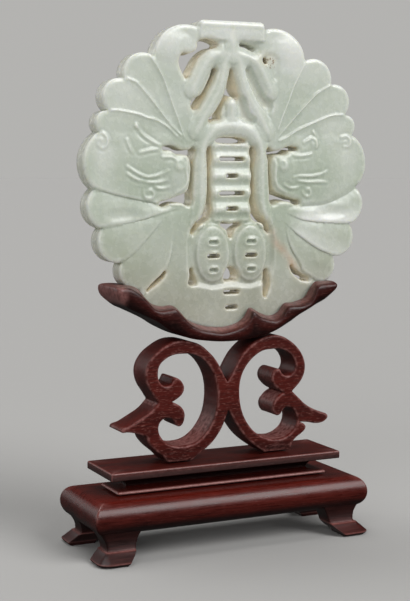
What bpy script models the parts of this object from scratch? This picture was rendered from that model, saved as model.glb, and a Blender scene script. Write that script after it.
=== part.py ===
"""A pierced jade plaque standing in a carved hardwood stand.

The front of the object faces -Y, +Z is up and the ground is Z = 0. The origin
is at the middle of the object's footprint box. All sizes below are in metres.
"""

import math

import bmesh
import bpy

MM = 0.001
TOUCH_GAP = 0.3 * MM

# Plaque: a scalloped disc standing on edge. Its own axes are U, to the right, and V, up.
PLAQUE_THICKNESS = 5.0 * MM
PLAQUE_CENTRE_HEIGHT = 70.0 * MM
PLAQUE_SIDE_OFFSET = 2.45 * MM
PLAQUE_RIM_ROUNDING = 0.7 * MM
PLAQUE_RADIUS = 29.2 * MM
TOP_BAR = ((0.0, 29.0), (6.0, 29.0), (6.7, 28.7), (6.95, 28.1))
LOBE_NOTCHES = (
    (7.2, 27.7), (15.9, 22.1), (21.8, 17.8), (25.0, 12.0), (26.7, 8.1),
    (27.7, -2.2), (26.3, -9.4), (22.5, -15.7), (19.2, -20.9), (13.2, -25.3),
)
LOBE_RISES = (2.5, 2.4, 2.5, 1.45, 2.6, 2.2, 2.5, 1.8, 1.9)
BOTTOM_LOBE_RISE = 3.9
LOBE_STEPS = 6

# Shallow gouge marks between the wing feathers.
UPPER_SHOULDER = (9.3, 6.8)
LOWER_SHOULDER = (10.0, -6.6)
GOUGE_RADIUS = 0.45 * MM
GOUGE_START = 0.3
GOUGE_END = 0.93
GOUGE_BOW = 0.06

# Column strokes: how high each stands, its half length, and whether it goes right through.
COLUMN_STROKES = (
    (3.3, 2.7, True), (0.1, 1.3, True), (-3.2, 2.7, True), (-6.1, 1.3, True),
)
OVAL_CENTRE = 4.0
OVAL_STROKES = ((-12.4, 1.0, False), (-15.0, 1.3, True), (-17.7, 0.9, False))
STROKE_HALF_HEIGHT = 0.4
SHALLOW_STROKE_DEPTH = 1.2 * MM

# Cradle: a wavy-lipped trough that holds the plaque's lower rim.
CRADLE_SIDE_OFFSET = 0.9 * MM
CRADLE_THICKNESS = 11.0 * MM
CRADLE_EDGE_ROUNDING = 0.6 * MM
CRADLE_LIP = (
    (-23.2, 50.1), (-20.6, 50.2), (-18.4, 49.6), (-16.9, 48.0), (-15.3, 46.5), (-13.4, 46.0),
    (-11.6, 46.1), (-10.2, 45.4), (-8.2, 43.3), (-5.2, 42.0), (-1.3, 41.5), (1.9, 42.0),
    (3.8, 43.2), (5.3, 44.9), (7.3, 43.8), (9.3, 43.2), (11.1, 43.8), (12.5, 45.4),
    (14.5, 45.6), (17.0, 46.4), (18.2, 48.0), (19.3, 49.3), (21.0, 49.5), (23.2, 49.5),
)
CRADLE_BELLY = (
    (23.2, 48.4), (20.6, 46.0), (15.0, 43.3), (12.4, 41.7), (8.4, 39.9), (4.0, 39.1), (0.0, 38.85),
)

# Scroll support: two C-scrolls sawn from one board, back to back. Only the right half is listed.
SCROLL_SIDE_OFFSET = 0.9 * MM
SCROLL_THICKNESS = 6.6 * MM
SCROLL_EDGE_ROUNDING = 0.3 * MM
SCROLL_OUTSIDE = (
    (0.0, 31.5), (1.9, 34.3), (4.6, 37.2), (8.6, 39.2), (12.4, 39.0), (15.4, 37.1), (17.0, 34.2),
    (16.6, 31.3), (14.4, 28.2), (17.5, 25.7), (21.9, 22.9), (20.6, 21.5), (17.2, 21.7),
    (16.0, 19.5), (13.4, 17.9), (11.6, 16.36), (6.6, 16.36), (4.5, 19.1), (2.2, 21.9), (0.0, 25.9),
)
SCROLL_OUTSIDE_CORNERS = (0, 8, 10, 12, 15, 16, 19)
SCROLL_INSIDE = (
    (9.4, 36.9), (6.3, 36.1), (4.2, 34.1), (2.7, 31.3), (2.4, 28.4), (2.9, 25.0), (4.3, 22.4),
    (6.8, 20.3), (10.3, 19.2), (13.0, 20.0), (14.8, 22.0), (14.6, 24.2), (12.9, 25.2),
    (11.6, 24.2), (10.8, 23.4), (9.6, 24.2), (9.3, 25.8), (11.7, 28.1), (9.4, 30.5), (9.6, 32.2),
    (11.5, 33.3), (11.7, 32.2), (12.8, 31.3), (14.3, 32.2), (14.6, 33.8), (13.6, 35.6),
)
SCROLL_INSIDE_CORNERS = (14, 17, 20)

# Stepped plinth: each level is an inset from the top slab's edge and a height.
PLINTH_HALF_LENGTH = 24.15 * MM
PLINTH_HALF_DEPTH = 6.45 * MM
PLINTH_TOP = 16.06 * MM
PLINTH_BOTTOM = 11.45 * MM
PLINTH_SLAB = 1.5 * MM
PLINTH_LEDGE_INSET = 2.15 * MM
PLINTH_LEDGE_HEIGHT = 0.5 * MM
PLINTH_COVE_DEPTH = 2.9 * MM
COVE_STEPS = 5

# Base: a slab with a pillow-shaped edge, on four flared feet.
BASE_HALF_LENGTH = 28.5 * MM
BASE_HALF_DEPTH = 10.0 * MM
BASE_TOP = 11.15 * MM
BASE_UNDERSIDE = 5.2 * MM
BASE_EDGE_BULGE = 1.9 * MM
BASE_EDGE_STEPS = 10
FOOT_SECTIONS = (
    # height, inner end, outer end, inner side, outer side, corner radius
    (6.2, 19.4, 27.2, 3.6, 9.0, 0.4),
    (5.0, 19.6, 27.0, 3.9, 8.9, 0.4),
    (3.6, 20.2, 26.4, 4.3, 9.0, 0.5),
    (2.5, 20.3, 26.2, 4.5, 9.4, 0.5),
    (2.1, 20.4, 26.4, 4.6, 9.7, 0.6),
    (1.3, 20.9, 27.4, 4.9, 10.8, 1.3),
    (0.7, 21.3, 28.2, 5.2, 11.5, 2.0),
    (0.0, 21.5, 28.4, 5.3, 11.8, 2.2),
)
FOOT_CORNER_STEPS = 4


def clear_scene():
    """Remove whatever the opened file holds."""
    for item in list(bpy.data.objects):
        bpy.data.objects.remove(item, do_unlink=True)


def new_collection(name):
    """Return a new collection under the scene's own."""
    collection = bpy.data.collections.new(name)
    bpy.context.scene.collection.children.link(collection)
    return collection


def jade_material():
    """Pale celadon jade with a waxy polish."""
    material = bpy.data.materials.new("polished_jade")
    material.use_nodes = True
    shader = material.node_tree.nodes["Principled BSDF"]
    shader.inputs["Base Color"].default_value = (0.57, 0.62, 0.52, 1.0)
    shader.inputs["Roughness"].default_value = 0.25
    shader.inputs["Metallic"].default_value = 0.0
    return material


def wood_material(name, colour):
    """Dark reddish hardwood with a satin wax polish."""
    material = bpy.data.materials.new(name)
    material.use_nodes = True
    shader = material.node_tree.nodes["Principled BSDF"]
    shader.inputs["Base Color"].default_value = (*colour, 1.0)
    shader.inputs["Roughness"].default_value = 0.35
    shader.inputs["Metallic"].default_value = 0.0
    return material


def mirrored_loop(half):
    """Close a half outline that starts and ends on the axis with its mirror image."""
    middle = [point for point in half if point[0] > 0.0]
    first = [half[0]] if half[0][0] == 0.0 else []
    last = [half[-1]] if half[-1][0] == 0.0 else []
    return first + middle + last + [(-u, v) for u, v in reversed(middle)]


def mirrored_points(points):
    """The mirror image of a closed outline."""
    return [(-u, v) for u, v in points]


def arc_points(start, end, rise, steps):
    """Points of a circular arc that bulges to the left of the way from start to end."""
    chord = math.dist(start, end)
    radius = chord * chord / (8.0 * rise) + rise / 2.0
    along = ((end[0] - start[0]) / chord, (end[1] - start[1]) / chord)
    outward = (-along[1], along[0])
    half_angle = math.asin(chord / (2.0 * radius))
    points = []
    for step in range(steps + 1):
        angle = half_angle * (2.0 * step / steps - 1.0)
        shift = radius * math.sin(angle) + chord / 2.0
        lift = radius * (math.cos(angle) - math.cos(half_angle))
        points.append((
            start[0] + along[0] * shift + outward[0] * lift,
            start[1] + along[1] * shift + outward[1] * lift,
        ))
    return points


def plaque_outline(scale=1.0):
    """The scalloped rim: a flat bar on top, nine lobes down each side, one wide lobe below."""
    half = list(TOP_BAR)
    for start, end, rise in zip(LOBE_NOTCHES, LOBE_NOTCHES[1:], LOBE_RISES):
        half += arc_points(start, end, rise, LOBE_STEPS)[:-1]
    last = LOBE_NOTCHES[-1]
    bottom = arc_points(last, (-last[0], last[1]), BOTTOM_LOBE_RISE, 4 * LOBE_STEPS)
    half += bottom[:2 * LOBE_STEPS]
    half.append((0.0, bottom[2 * LOBE_STEPS][1]))
    return [(u * scale, v * scale) for u, v in mirrored_loop(half)]


def stroke_outline(u, v, half_length):
    """A short level stroke with round ends."""
    height = STROKE_HALF_HEIGHT
    straight = half_length - height
    points = []
    for side in (1.0, -1.0):
        for step in range(5):
            angle = side * math.pi / 2.0 - step * math.pi / 4.0
            points.append((u + side * straight + height * math.cos(angle), v + height * math.sin(angle)))
    return points


def add_poly(curve, points):
    """Add one closed straight-sided loop, given in millimetres."""
    spline = curve.splines.new("POLY")
    spline.points.add(len(points) - 1)
    for knot, (u, v) in zip(spline.points, points):
        knot.co = (u * MM, v * MM, 0.0, 1.0)
    spline.use_cyclic_u = True


def add_smooth(curve, points, corners=()):
    """Add one closed smooth loop, in millimetres; the points listed in corners stay sharp."""
    spline = curve.splines.new("BEZIER")
    spline.bezier_points.add(len(points) - 1)
    for index, (knot, (u, v)) in enumerate(zip(spline.bezier_points, points)):
        knot.co = (u * MM, v * MM, 0.0)
        kind = "VECTOR" if index in corners else "AUTO"
        knot.handle_left_type = kind
        knot.handle_right_type = kind
    spline.use_cyclic_u = True


def flat_curve(name, thickness, rounding=0.0, resolution=3):
    """A filled flat outline whose edges are rounded within its own size."""
    curve = bpy.data.curves.new(name, "CURVE")
    curve.dimensions = "2D"
    curve.fill_mode = "BOTH"
    curve.resolution_u = resolution
    curve.extrude = thickness / 2.0 - rounding
    curve.bevel_depth = rounding
    curve.bevel_resolution = 1
    curve.offset = -rounding
    return curve


def upright_solid(name, curve, collection, place, material=None):
    """Stand a flat curve up in the XZ plane and make it a closed mesh."""
    source = bpy.data.objects.new(name + "_outline", curve)
    source.rotation_euler = (math.pi / 2.0, 0.0, 0.0)
    source.location = place
    collection.objects.link(source)
    bpy.context.view_layer.update()
    evaluated = source.evaluated_get(bpy.context.evaluated_depsgraph_get())
    mesh = bpy.data.meshes.new_from_object(evaluated)
    mesh.name = name
    work = bmesh.new()
    work.from_mesh(mesh)
    bmesh.ops.remove_doubles(work, verts=work.verts, dist=0.02 * MM)
    bmesh.ops.dissolve_degenerate(work, edges=work.edges, dist=0.01 * MM)
    bmesh.ops.recalc_face_normals(work, faces=work.faces)
    work.to_mesh(mesh)
    work.free()
    solid = bpy.data.objects.new(name, mesh)
    solid.matrix_world = source.matrix_world
    collection.objects.link(solid)
    bpy.data.objects.remove(source, do_unlink=True)
    mesh.materials.clear()
    if material:
        mesh.materials.append(material)
    return solid


def subtract(solid, cutter):
    """Cut one solid with another that stays hidden."""
    cutter.hide_render = True
    cutter.display_type = "WIRE"
    cut = solid.modifiers.new(cutter.name, "BOOLEAN")
    cut.operation = "DIFFERENCE"
    cut.object = cutter
    cut.solver = "EXACT"


def join_to(solid, addition):
    """Make a second solid one body with the first."""
    addition.hide_render = True
    addition.display_type = "WIRE"
    union = solid.modifiers.new(addition.name, "BOOLEAN")
    union.operation = "UNION"
    union.object = addition
    union.solver = "EXACT"


def side_openings():
    """Openings that come in mirrored pairs, as outlines on the right side."""
    under_horn = (
        (10.4, 22.5), (8.2, 22.9), (7.2, 23.7), (6.9, 25.0), (3.1, 25.0), (2.8, 24.5), (5.0, 23.4),
        (6.8, 21.9), (8.2, 19.6), (9.2, 18.2), (9.9, 18.8),
    )
    between_ribs = (
        (3.3, 21.0), (4.9, 18.7), (6.0, 16.5), (7.0, 15.2), (8.6, 14.3), (8.6, 11.9), (7.4, 12.0),
        (6.0, 13.8), (4.6, 16.2), (3.4, 18.6),
    )
    round_bat_head = (
        (14.3, 5.2), (13.2, 5.75), (11.8, 5.6), (10.4, 5.05), (8.9, 5.0), (7.9, 5.5), (7.8, 2.5),
        (7.9, -0.5), (8.1, -3.0), (8.5, -5.3), (9.3, -5.4), (10.4, -4.9), (12.2, -4.9),
        (14.5, -5.5), (14.9, -5.0), (13.2, -4.3), (11.2, -3.6), (9.4, -2.8), (8.8, -1.4),
        (8.6, 0.4), (8.6, 2.4), (9.1, 3.8), (10.2, 4.1), (11.6, 4.2), (12.6, 4.8),
    )
    beside_column = (
        (4.3, 5.6), (4.9, 5.6), (5.0, 0.0), (5.2, -4.0), (5.8, -6.3), (6.8, -7.8), (8.0, -9.2),
        (8.2, -10.8), (7.5, -10.4), (6.6, -9.1), (5.2, -8.5), (4.4, -7.6), (4.3, 0.0),
    )
    below_oval = (
        (7.9, -17.4), (8.3, -19.5), (8.0, -21.6), (7.2, -22.3), (6.8, -20.8), (7.2, -18.8),
    )
    low_crease = (
        (13.0, -16.9), (14.3, -18.3), (16.0, -19.9), (15.1, -20.1), (13.7, -19.3), (12.9, -18.1),
    )
    return (under_horn, between_ribs, round_bat_head, beside_column, below_oval, low_crease)


def middle_openings():
    """Openings that lie across the axis, as right halves."""
    round_tongue = (
        (0.0, 20.2), (0.6, 18.8), (1.0, 17.4), (1.3, 16.2), (2.1, 14.2), (3.5, 12.0), (4.8, 10.3),
        (3.6, 10.4), (2.2, 10.8), (2.0, 11.9), (1.5, 13.3), (0.8, 14.5), (0.0, 15.0),
    )
    under_arch = ((0.0, 7.4), (2.4, 7.2), (3.2, 6.7), (2.2, 6.3), (0.0, 6.25))
    between_ovals = ((0.0, -9.0), (2.1, -9.0), (0.9, -10.1), (0.0, -11.6))
    low_triangle = ((0.0, -17.0), (1.7, -19.7), (0.0, -19.8))
    low_smile = ((0.0, -24.8), (1.6, -24.4), (2.8, -23.7), (2.6, -24.6), (1.4, -25.4), (0.0, -25.6))
    return (round_tongue, under_arch, between_ovals, low_triangle, low_smile)


def plaque_place():
    """The plaque's centre in the object's frame."""
    return (base_centre() + PLAQUE_SIDE_OFFSET, 0.0, PLAQUE_CENTRE_HEIGHT)


def base_centre():
    """Sideways place of the base that centres the whole object on its origin."""
    plaque_reach = PLAQUE_SIDE_OFFSET + max(u for u, _ in plaque_outline()) * MM
    return -(plaque_reach - BASE_HALF_LENGTH) / 2.0


def make_openings(cutters):
    """Cutter for everything that is sawn right through the plaque."""
    curve = flat_curve("openings", PLAQUE_THICKNESS * 2.0, resolution=2)
    for outline in side_openings():
        add_smooth(curve, outline)
        add_smooth(curve, mirrored_points(outline))
    for half in middle_openings():
        add_smooth(curve, mirrored_loop(half))
    for height, half_length, through in COLUMN_STROKES:
        if through:
            add_poly(curve, stroke_outline(0.0, height, half_length))
    for height, half_length, through in OVAL_STROKES:
        for side in (-OVAL_CENTRE, OVAL_CENTRE):
            if through:
                add_poly(curve, stroke_outline(side, height, half_length))
    add_poly(curve, stroke_outline(0.0, -22.0, 1.7))
    return upright_solid("openings", curve, cutters, plaque_place())


def make_shallow_strokes(cutters):
    """Cutter for the strokes that are sunk into the front only."""
    curve = flat_curve("shallow_strokes", 2.0 * SHALLOW_STROKE_DEPTH)
    for height, half_length, through in OVAL_STROKES:
        for side in (-OVAL_CENTRE, OVAL_CENTRE):
            if not through:
                add_poly(curve, stroke_outline(side, height, half_length))
    u, _, v = plaque_place()
    return upright_solid("shallow_strokes", curve, cutters, (u, -PLAQUE_THICKNESS / 2.0, v))


def gouge_path(shoulder, notch):
    """Five points from near a wing's shoulder to near the rim, bowed upwards."""
    along = (notch[0] - shoulder[0], notch[1] - shoulder[1])
    points = []
    for step in range(5):
        part = GOUGE_START + (GOUGE_END - GOUGE_START) * step / 4.0
        bow = GOUGE_BOW * 4.0 * part * (1.0 - part)
        points.append((
            shoulder[0] + along[0] * part - along[1] * bow,
            shoulder[1] + along[1] * part + along[0] * bow,
        ))
    return points


def make_gouges(cutters):
    """Cutter for the lines between the feathers, a fan of round gouge marks on each wing."""
    curve = bpy.data.curves.new("gouges", "CURVE")
    curve.dimensions = "3D"
    curve.bevel_depth = GOUGE_RADIUS
    curve.bevel_resolution = 0
    curve.use_fill_caps = True
    fans = [(UPPER_SHOULDER, notch) for notch in LOBE_NOTCHES[1:5]]
    fans += [(LOWER_SHOULDER, notch) for notch in LOBE_NOTCHES[5:8]]
    for shoulder, notch in fans:
        for side in (1.0, -1.0):
            spline = curve.splines.new("POLY")
            path = gouge_path(shoulder, notch)
            spline.points.add(len(path) - 1)
            for knot, (u, v) in zip(spline.points, path):
                knot.co = (side * u * MM, v * MM, 0.0, 1.0)
    u, _, v = plaque_place()
    return upright_solid("gouges", curve, cutters, (u, -PLAQUE_THICKNESS / 2.0, v))


def make_plaque(collection, cutters):
    """The jade plaque, pierced right through and marked with feathers in front."""
    curve = flat_curve("jade_plaque", PLAQUE_THICKNESS, PLAQUE_RIM_ROUNDING)
    add_poly(curve, plaque_outline())
    plaque = upright_solid("jade_plaque", curve, collection, plaque_place(), jade_material())
    subtract(plaque, make_openings(cutters))
    subtract(plaque, make_shallow_strokes(cutters))
    subtract(plaque, make_gouges(cutters))


def make_cradle(collection, cutters):
    """The trough: a wavy lip above, a boat-shaped belly below, and the plaque's slot."""
    curve = flat_curve("cradle", CRADLE_THICKNESS, CRADLE_EDGE_ROUNDING, resolution=2)
    belly = list(CRADLE_BELLY) + [(-u, z) for u, z in reversed(CRADLE_BELLY[:-1])]
    corners = (0, len(CRADLE_LIP) - 1, len(CRADLE_LIP), len(CRADLE_LIP) + len(belly) - 1)
    add_smooth(curve, list(CRADLE_LIP) + belly, corners)
    place = (base_centre() + CRADLE_SIDE_OFFSET, 0.0, 0.0)
    wood = wood_material("cradle_hardwood", (0.095, 0.024, 0.018))
    cradle = upright_solid("cradle", curve, collection, place, wood)
    slot = flat_curve("plaque_slot", PLAQUE_THICKNESS + 2.0 * TOUCH_GAP)
    add_poly(slot, plaque_outline(1.0 + TOUCH_GAP / PLAQUE_RADIUS))
    subtract(cradle, upright_solid("plaque_slot", slot, cutters, plaque_place()))


def make_scroll_support(collection):
    """Two C-scrolls back to back, with curled ends and leaf-shaped spurs."""
    curve = flat_curve("scroll_support", SCROLL_THICKNESS, SCROLL_EDGE_ROUNDING, resolution=3)
    outside = list(SCROLL_OUTSIDE)
    inner = [(-u, z) for u, z in reversed(outside[1:-1])]
    count = len(outside)
    left_corners = [2 * count - 2 - index for index in SCROLL_OUTSIDE_CORNERS if 0 < index < count - 1]
    add_smooth(curve, outside + inner, list(SCROLL_OUTSIDE_CORNERS) + left_corners)
    add_smooth(curve, SCROLL_INSIDE, SCROLL_INSIDE_CORNERS)
    add_smooth(curve, mirrored_points(SCROLL_INSIDE), SCROLL_INSIDE_CORNERS)
    wood = wood_material("scroll_hardwood", (0.125, 0.030, 0.021))
    place = (base_centre() + SCROLL_SIDE_OFFSET, 0.0, 0.0)
    upright_solid("scroll_support", curve, collection, place, wood)


def loft(name, rings, collection, material=None):
    """Join rings of equally many points into one closed solid, its ends capped."""
    work = bmesh.new()
    rows = [[work.verts.new(point) for point in ring] for ring in rings]
    count = len(rows[0])
    for lower, upper in zip(rows, rows[1:]):
        for index in range(count):
            after = (index + 1) % count
            work.faces.new((lower[index], lower[after], upper[after], upper[index]))
    work.faces.new(rows[0])
    work.faces.new(rows[-1])
    bmesh.ops.recalc_face_normals(work, faces=work.faces)
    mesh = bpy.data.meshes.new(name)
    work.to_mesh(mesh)
    work.free()
    if material:
        mesh.materials.append(material)
    solid = bpy.data.objects.new(name, mesh)
    solid.location = (base_centre(), 0.0, 0.0)
    collection.objects.link(solid)
    return solid


def rectangle_ring(half_length, half_depth, height):
    """Four corners of a level rectangle."""
    corners = ((-1.0, -1.0), (1.0, -1.0), (1.0, 1.0), (-1.0, 1.0))
    return [(half_length * x, half_depth * y, height) for x, y in corners]


def make_plinth(collection):
    """A thin slab over a deep cove, standing on a narrow ledge, with mitred corners."""
    ledge_top = PLINTH_BOTTOM + PLINTH_LEDGE_HEIGHT
    slab_bottom = PLINTH_TOP - PLINTH_SLAB
    levels = [(PLINTH_LEDGE_INSET, PLINTH_BOTTOM), (PLINTH_LEDGE_INSET, ledge_top)]
    for step in range(COVE_STEPS + 1):
        angle = math.pi / 2.0 * step / COVE_STEPS
        inset = PLINTH_COVE_DEPTH * math.cos(angle)
        height = ledge_top + (slab_bottom - ledge_top) * math.sin(angle)
        levels.append((max(inset, 0.3 * MM), height))
    levels += [(0.0, slab_bottom), (0.0, PLINTH_TOP)]
    rings = [
        rectangle_ring(PLINTH_HALF_LENGTH - inset, PLINTH_HALF_DEPTH - inset, height)
        for inset, height in levels
    ]
    loft("stepped_plinth", rings, collection, wood_material("plinth_hardwood", (0.11, 0.024, 0.018)))


def rounded_rectangle_ring(section):
    """One level section of a foot, its four corners rounded."""
    height, low_x, high_x, low_y, high_y, radius = (value * MM for value in section)
    centres = (
        (high_x - radius, high_y - radius, 0.0),
        (low_x + radius, high_y - radius, 1.0),
        (low_x + radius, low_y + radius, 2.0),
        (high_x - radius, low_y + radius, 3.0),
    )
    points = []
    for x, y, quarter in centres:
        for step in range(FOOT_CORNER_STEPS + 1):
            angle = math.pi / 2.0 * (quarter + step / FOOT_CORNER_STEPS)
            points.append((x + radius * math.cos(angle), y + radius * math.sin(angle), height))
    return points


def make_base(collection, cutters):
    """The pillow-edged slab and its four flared feet, carved from one block."""
    middle = (BASE_TOP + BASE_UNDERSIDE) / 2.0
    half_height = (BASE_TOP - BASE_UNDERSIDE) / 2.0
    rings = []
    for step in range(BASE_EDGE_STEPS + 1):
        angle = math.pi * (step / BASE_EDGE_STEPS - 0.5)
        inset = BASE_EDGE_BULGE * (1.0 - math.cos(angle))
        height = middle + half_height * math.sin(angle)
        rings.append(rectangle_ring(BASE_HALF_LENGTH - inset, BASE_HALF_DEPTH - inset, height))
    wood = wood_material("base_hardwood", (0.075, 0.017, 0.014))
    base = loft("base", rings, collection, wood)
    for side, side_name in ((-1.0, "left"), (1.0, "right")):
        for depth, depth_name in ((-1.0, "front"), (1.0, "back")):
            sections = [
                [(side * x, depth * y, z) for x, y, z in rounded_rectangle_ring(section)]
                for section in FOOT_SECTIONS
            ]
            join_to(base, loft(f"foot_{depth_name}_{side_name}", sections, cutters))


def main():
    """Build the whole object."""
    clear_scene()
    parts = new_collection("jade_plaque_on_stand")
    cutters = new_collection("cutters")
    make_plaque(parts, cutters)
    make_cradle(parts, cutters)
    make_scroll_support(parts)
    make_plinth(parts)
    make_base(parts, cutters)


main()
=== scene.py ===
"""A pierced jade plaque in its carved hardwood stand.

The file is laid out as a Blender add-on and is run as a script. The front faces
-Y and +Z is up. Drawing sizes are millimetres; meshes and settings are metres.
"""

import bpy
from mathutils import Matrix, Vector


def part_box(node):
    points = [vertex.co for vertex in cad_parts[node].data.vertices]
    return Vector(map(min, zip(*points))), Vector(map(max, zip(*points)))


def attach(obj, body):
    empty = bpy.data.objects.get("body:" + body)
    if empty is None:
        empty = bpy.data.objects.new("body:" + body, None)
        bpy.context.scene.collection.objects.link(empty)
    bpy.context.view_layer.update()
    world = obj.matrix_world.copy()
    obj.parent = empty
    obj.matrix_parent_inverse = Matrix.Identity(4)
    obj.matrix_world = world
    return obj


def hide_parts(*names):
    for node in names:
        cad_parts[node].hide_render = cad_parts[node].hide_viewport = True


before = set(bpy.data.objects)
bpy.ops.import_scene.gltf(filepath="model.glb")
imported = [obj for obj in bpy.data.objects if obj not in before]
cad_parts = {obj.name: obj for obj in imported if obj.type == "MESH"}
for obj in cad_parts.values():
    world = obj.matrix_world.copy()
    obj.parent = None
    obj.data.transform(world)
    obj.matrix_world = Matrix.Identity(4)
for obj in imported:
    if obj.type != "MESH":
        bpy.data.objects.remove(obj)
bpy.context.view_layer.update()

import math

import bmesh
import bpy
import numpy as np
from bpy.props import FloatProperty, FloatVectorProperty, PointerProperty
from mathutils import Vector, noise
from mathutils.geometry import delaunay_2d_cdt
from mathutils.kdtree import KDTree

bl_info = {
    "name": "Jade Plaque On Stand",
    "version": (1, 0, 0),
    "blender": (4, 5, 0),
    "location": "View3D > Sidebar > Jade Stand",
    "description": "Builds a pierced jade plaque, its scrolled hardwood stand and a plain studio",
    "category": "Object",
}

MM = 0.001

# ---------------------------------------------------------------- plaque drawing
# U runs to the right and V up from the plaque's centre.
PLAQUE_TOP_V = 29.0
TOP_BAR = ((0.0, 29.0), (6.0, 29.0), (6.7, 28.7), (6.95, 28.1))
LOBE_NOTCHES = (
    (7.2, 27.7), (15.9, 22.1), (21.8, 17.8), (25.0, 12.0), (26.7, 8.1),
    (27.7, -2.2), (26.3, -9.4), (22.5, -15.7), (19.2, -20.9), (13.2, -25.3),
)
LOBE_RISES = (2.5, 2.4, 2.5, 1.45, 2.6, 2.2, 2.5, 1.8, 1.9)
BOTTOM_LOBE_RISE = 3.9
LOBE_STEPS = 40

# Sawn openings that come in mirrored pairs, drawn on the right.
SIDE_OPENINGS = {
    "round_bat_head": (
        (14.3, 5.2), (13.2, 5.75), (11.8, 5.6), (10.4, 5.05), (8.9, 5.0), (7.9, 5.5), (7.8, 2.5),
        (7.9, -0.5), (8.1, -3.0), (8.5, -5.3), (9.3, -5.4), (10.4, -4.9), (12.2, -4.9),
        (14.5, -5.5), (14.9, -5.0), (13.2, -4.3), (11.2, -3.6), (9.4, -2.8), (8.8, -1.4),
        (8.6, 0.4), (8.6, 2.4), (9.1, 3.8), (10.2, 4.1), (11.6, 4.2), (12.6, 4.8),
    ),
    "beside_column": (
        (4.3, 5.6), (4.9, 5.6), (5.0, 0.0), (5.2, -4.0), (5.8, -6.3), (6.8, -7.8), (8.0, -9.2),
        (8.2, -10.8), (7.5, -10.4), (6.6, -9.1), (5.2, -8.5), (4.4, -7.6), (4.3, 0.0),
    ),
}
# Sawn openings that were cut differently on the two sides.
SINGLE_OPENINGS = {
    "below_left_oval": (
        (-8.3, -17.1), (-7.7, -18.2), (-7.2, -19.4), (-7.3, -20.2), (-8.1, -20.5), (-8.9, -20.3),
        (-8.8, -18.9),
    ),
    "below_right_oval": (
        (7.6, -17.8), (8.2, -19.0), (8.4, -20.6), (8.0, -22.2), (7.2, -23.3), (6.8, -22.0), (7.0, -19.8),
    ),
    "left_crease": (
        (-13.7, -17.6), (-14.8, -18.4), (-16.0, -19.3), (-17.2, -20.5), (-17.6, -21.2), (-16.7, -20.8),
        (-15.6, -20.1), (-14.5, -19.2), (-13.8, -18.3),
    ),
    "right_crease": (
        (12.8, -17.2), (13.9, -17.9), (15.4, -18.9), (17.1, -20.3), (16.3, -20.5), (14.9, -20.1),
        (13.6, -19.1), (12.9, -18.1),
    ),
    "under_left_horn": (
        (-10.4, 22.5), (-8.2, 22.9), (-7.2, 23.7), (-6.9, 25.0), (-3.1, 25.0), (-2.8, 24.5),
        (-5.0, 23.4), (-6.8, 21.9), (-8.2, 19.6), (-9.2, 18.2), (-9.9, 18.8),
    ),
    "under_right_horn": (
        (2.0, 24.9), (1.9, 24.5), (2.9, 24.2), (4.0, 23.8), (4.9, 23.6), (5.1, 24.1), (4.3, 24.7),
        (3.2, 24.95),
    ),
    "right_flaw": ((6.6, 22.2), (6.6, 21.7), (7.1, 21.3), (7.6, 21.5), (7.5, 22.1), (7.1, 22.5)),
    "between_left_ribs": (
        (-3.3, 20.2), (-4.5, 18.3), (-5.4, 16.5), (-6.4, 15.1), (-7.9, 14.3), (-8.2, 12.8),
        (-7.3, 12.4), (-6.0, 13.9), (-4.7, 16.1), (-3.5, 18.4),
    ),
    "round_tongue": (
        (0.0, 20.2), (0.6, 18.8), (1.0, 17.4), (1.3, 16.2), (1.8, 14.9), (1.3, 14.4), (0.8, 14.6),
        (0.0, 15.0), (-0.8, 14.5), (-1.5, 13.3), (-2.0, 11.9), (-2.2, 10.8), (-3.6, 10.4),
        (-4.8, 10.3), (-3.5, 12.0), (-2.1, 14.2), (-1.3, 16.2), (-1.0, 17.4), (-0.6, 18.8),
    ),
}
# Channels among the ribs that were never sawn through: depth, then the outline.
CHANNELS = (
    (1.5, ((3.3, 20.4), (4.7, 18.7), (6.0, 16.5), (7.0, 15.2), (8.4, 13.9), (8.4, 12.6), (7.5, 12.6),
           (6.0, 13.8), (4.6, 16.2), (3.4, 18.6))),
    (1.5, ((1.8, 15.0), (3.5, 12.0), (4.8, 10.3), (3.6, 10.4), (2.2, 10.8), (2.0, 11.9),
           (1.6, 13.2), (1.2, 14.2))),
    (0.8, ((6.9, 22.8), (9.8, 22.5), (10.0, 20.6), (9.9, 18.8), (9.2, 18.2), (8.2, 19.6), (7.2, 21.4))),
)
# Sawn openings that lie across the middle, drawn as right halves.
MIDDLE_OPENINGS = {
    "under_arch": ((0.0, 7.4), (2.4, 7.2), (3.2, 6.7), (2.2, 6.3), (0.0, 6.25)),
    "between_ovals": ((0.0, -9.0), (2.1, -9.0), (0.9, -10.1), (0.0, -11.6)),
    "low_triangle": ((0.0, -17.2), (1.4, -19.6), (0.0, -19.8)),
}
# Level strokes: centre U, V and half length. The first set is sawn through, the second is sunk.
STROKE_HALF_HEIGHT = 0.4
SAWN_STROKES = (
    (0.0, 3.3, 2.7), (0.0, 0.1, 1.3), (0.0, -3.2, 2.7), (0.0, -6.1, 1.3),
    (-4.0, -15.0, 1.3), (4.0, -15.0, 1.3), (0.0, -22.0, 1.7), (0.0, -24.9, 1.3),
)
SUNK_STROKES = ((-4.0, -12.4, 1.0), (4.0, -12.4, 1.0), (-4.0, -17.7, 0.9), (4.0, -17.7, 0.9))

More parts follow.
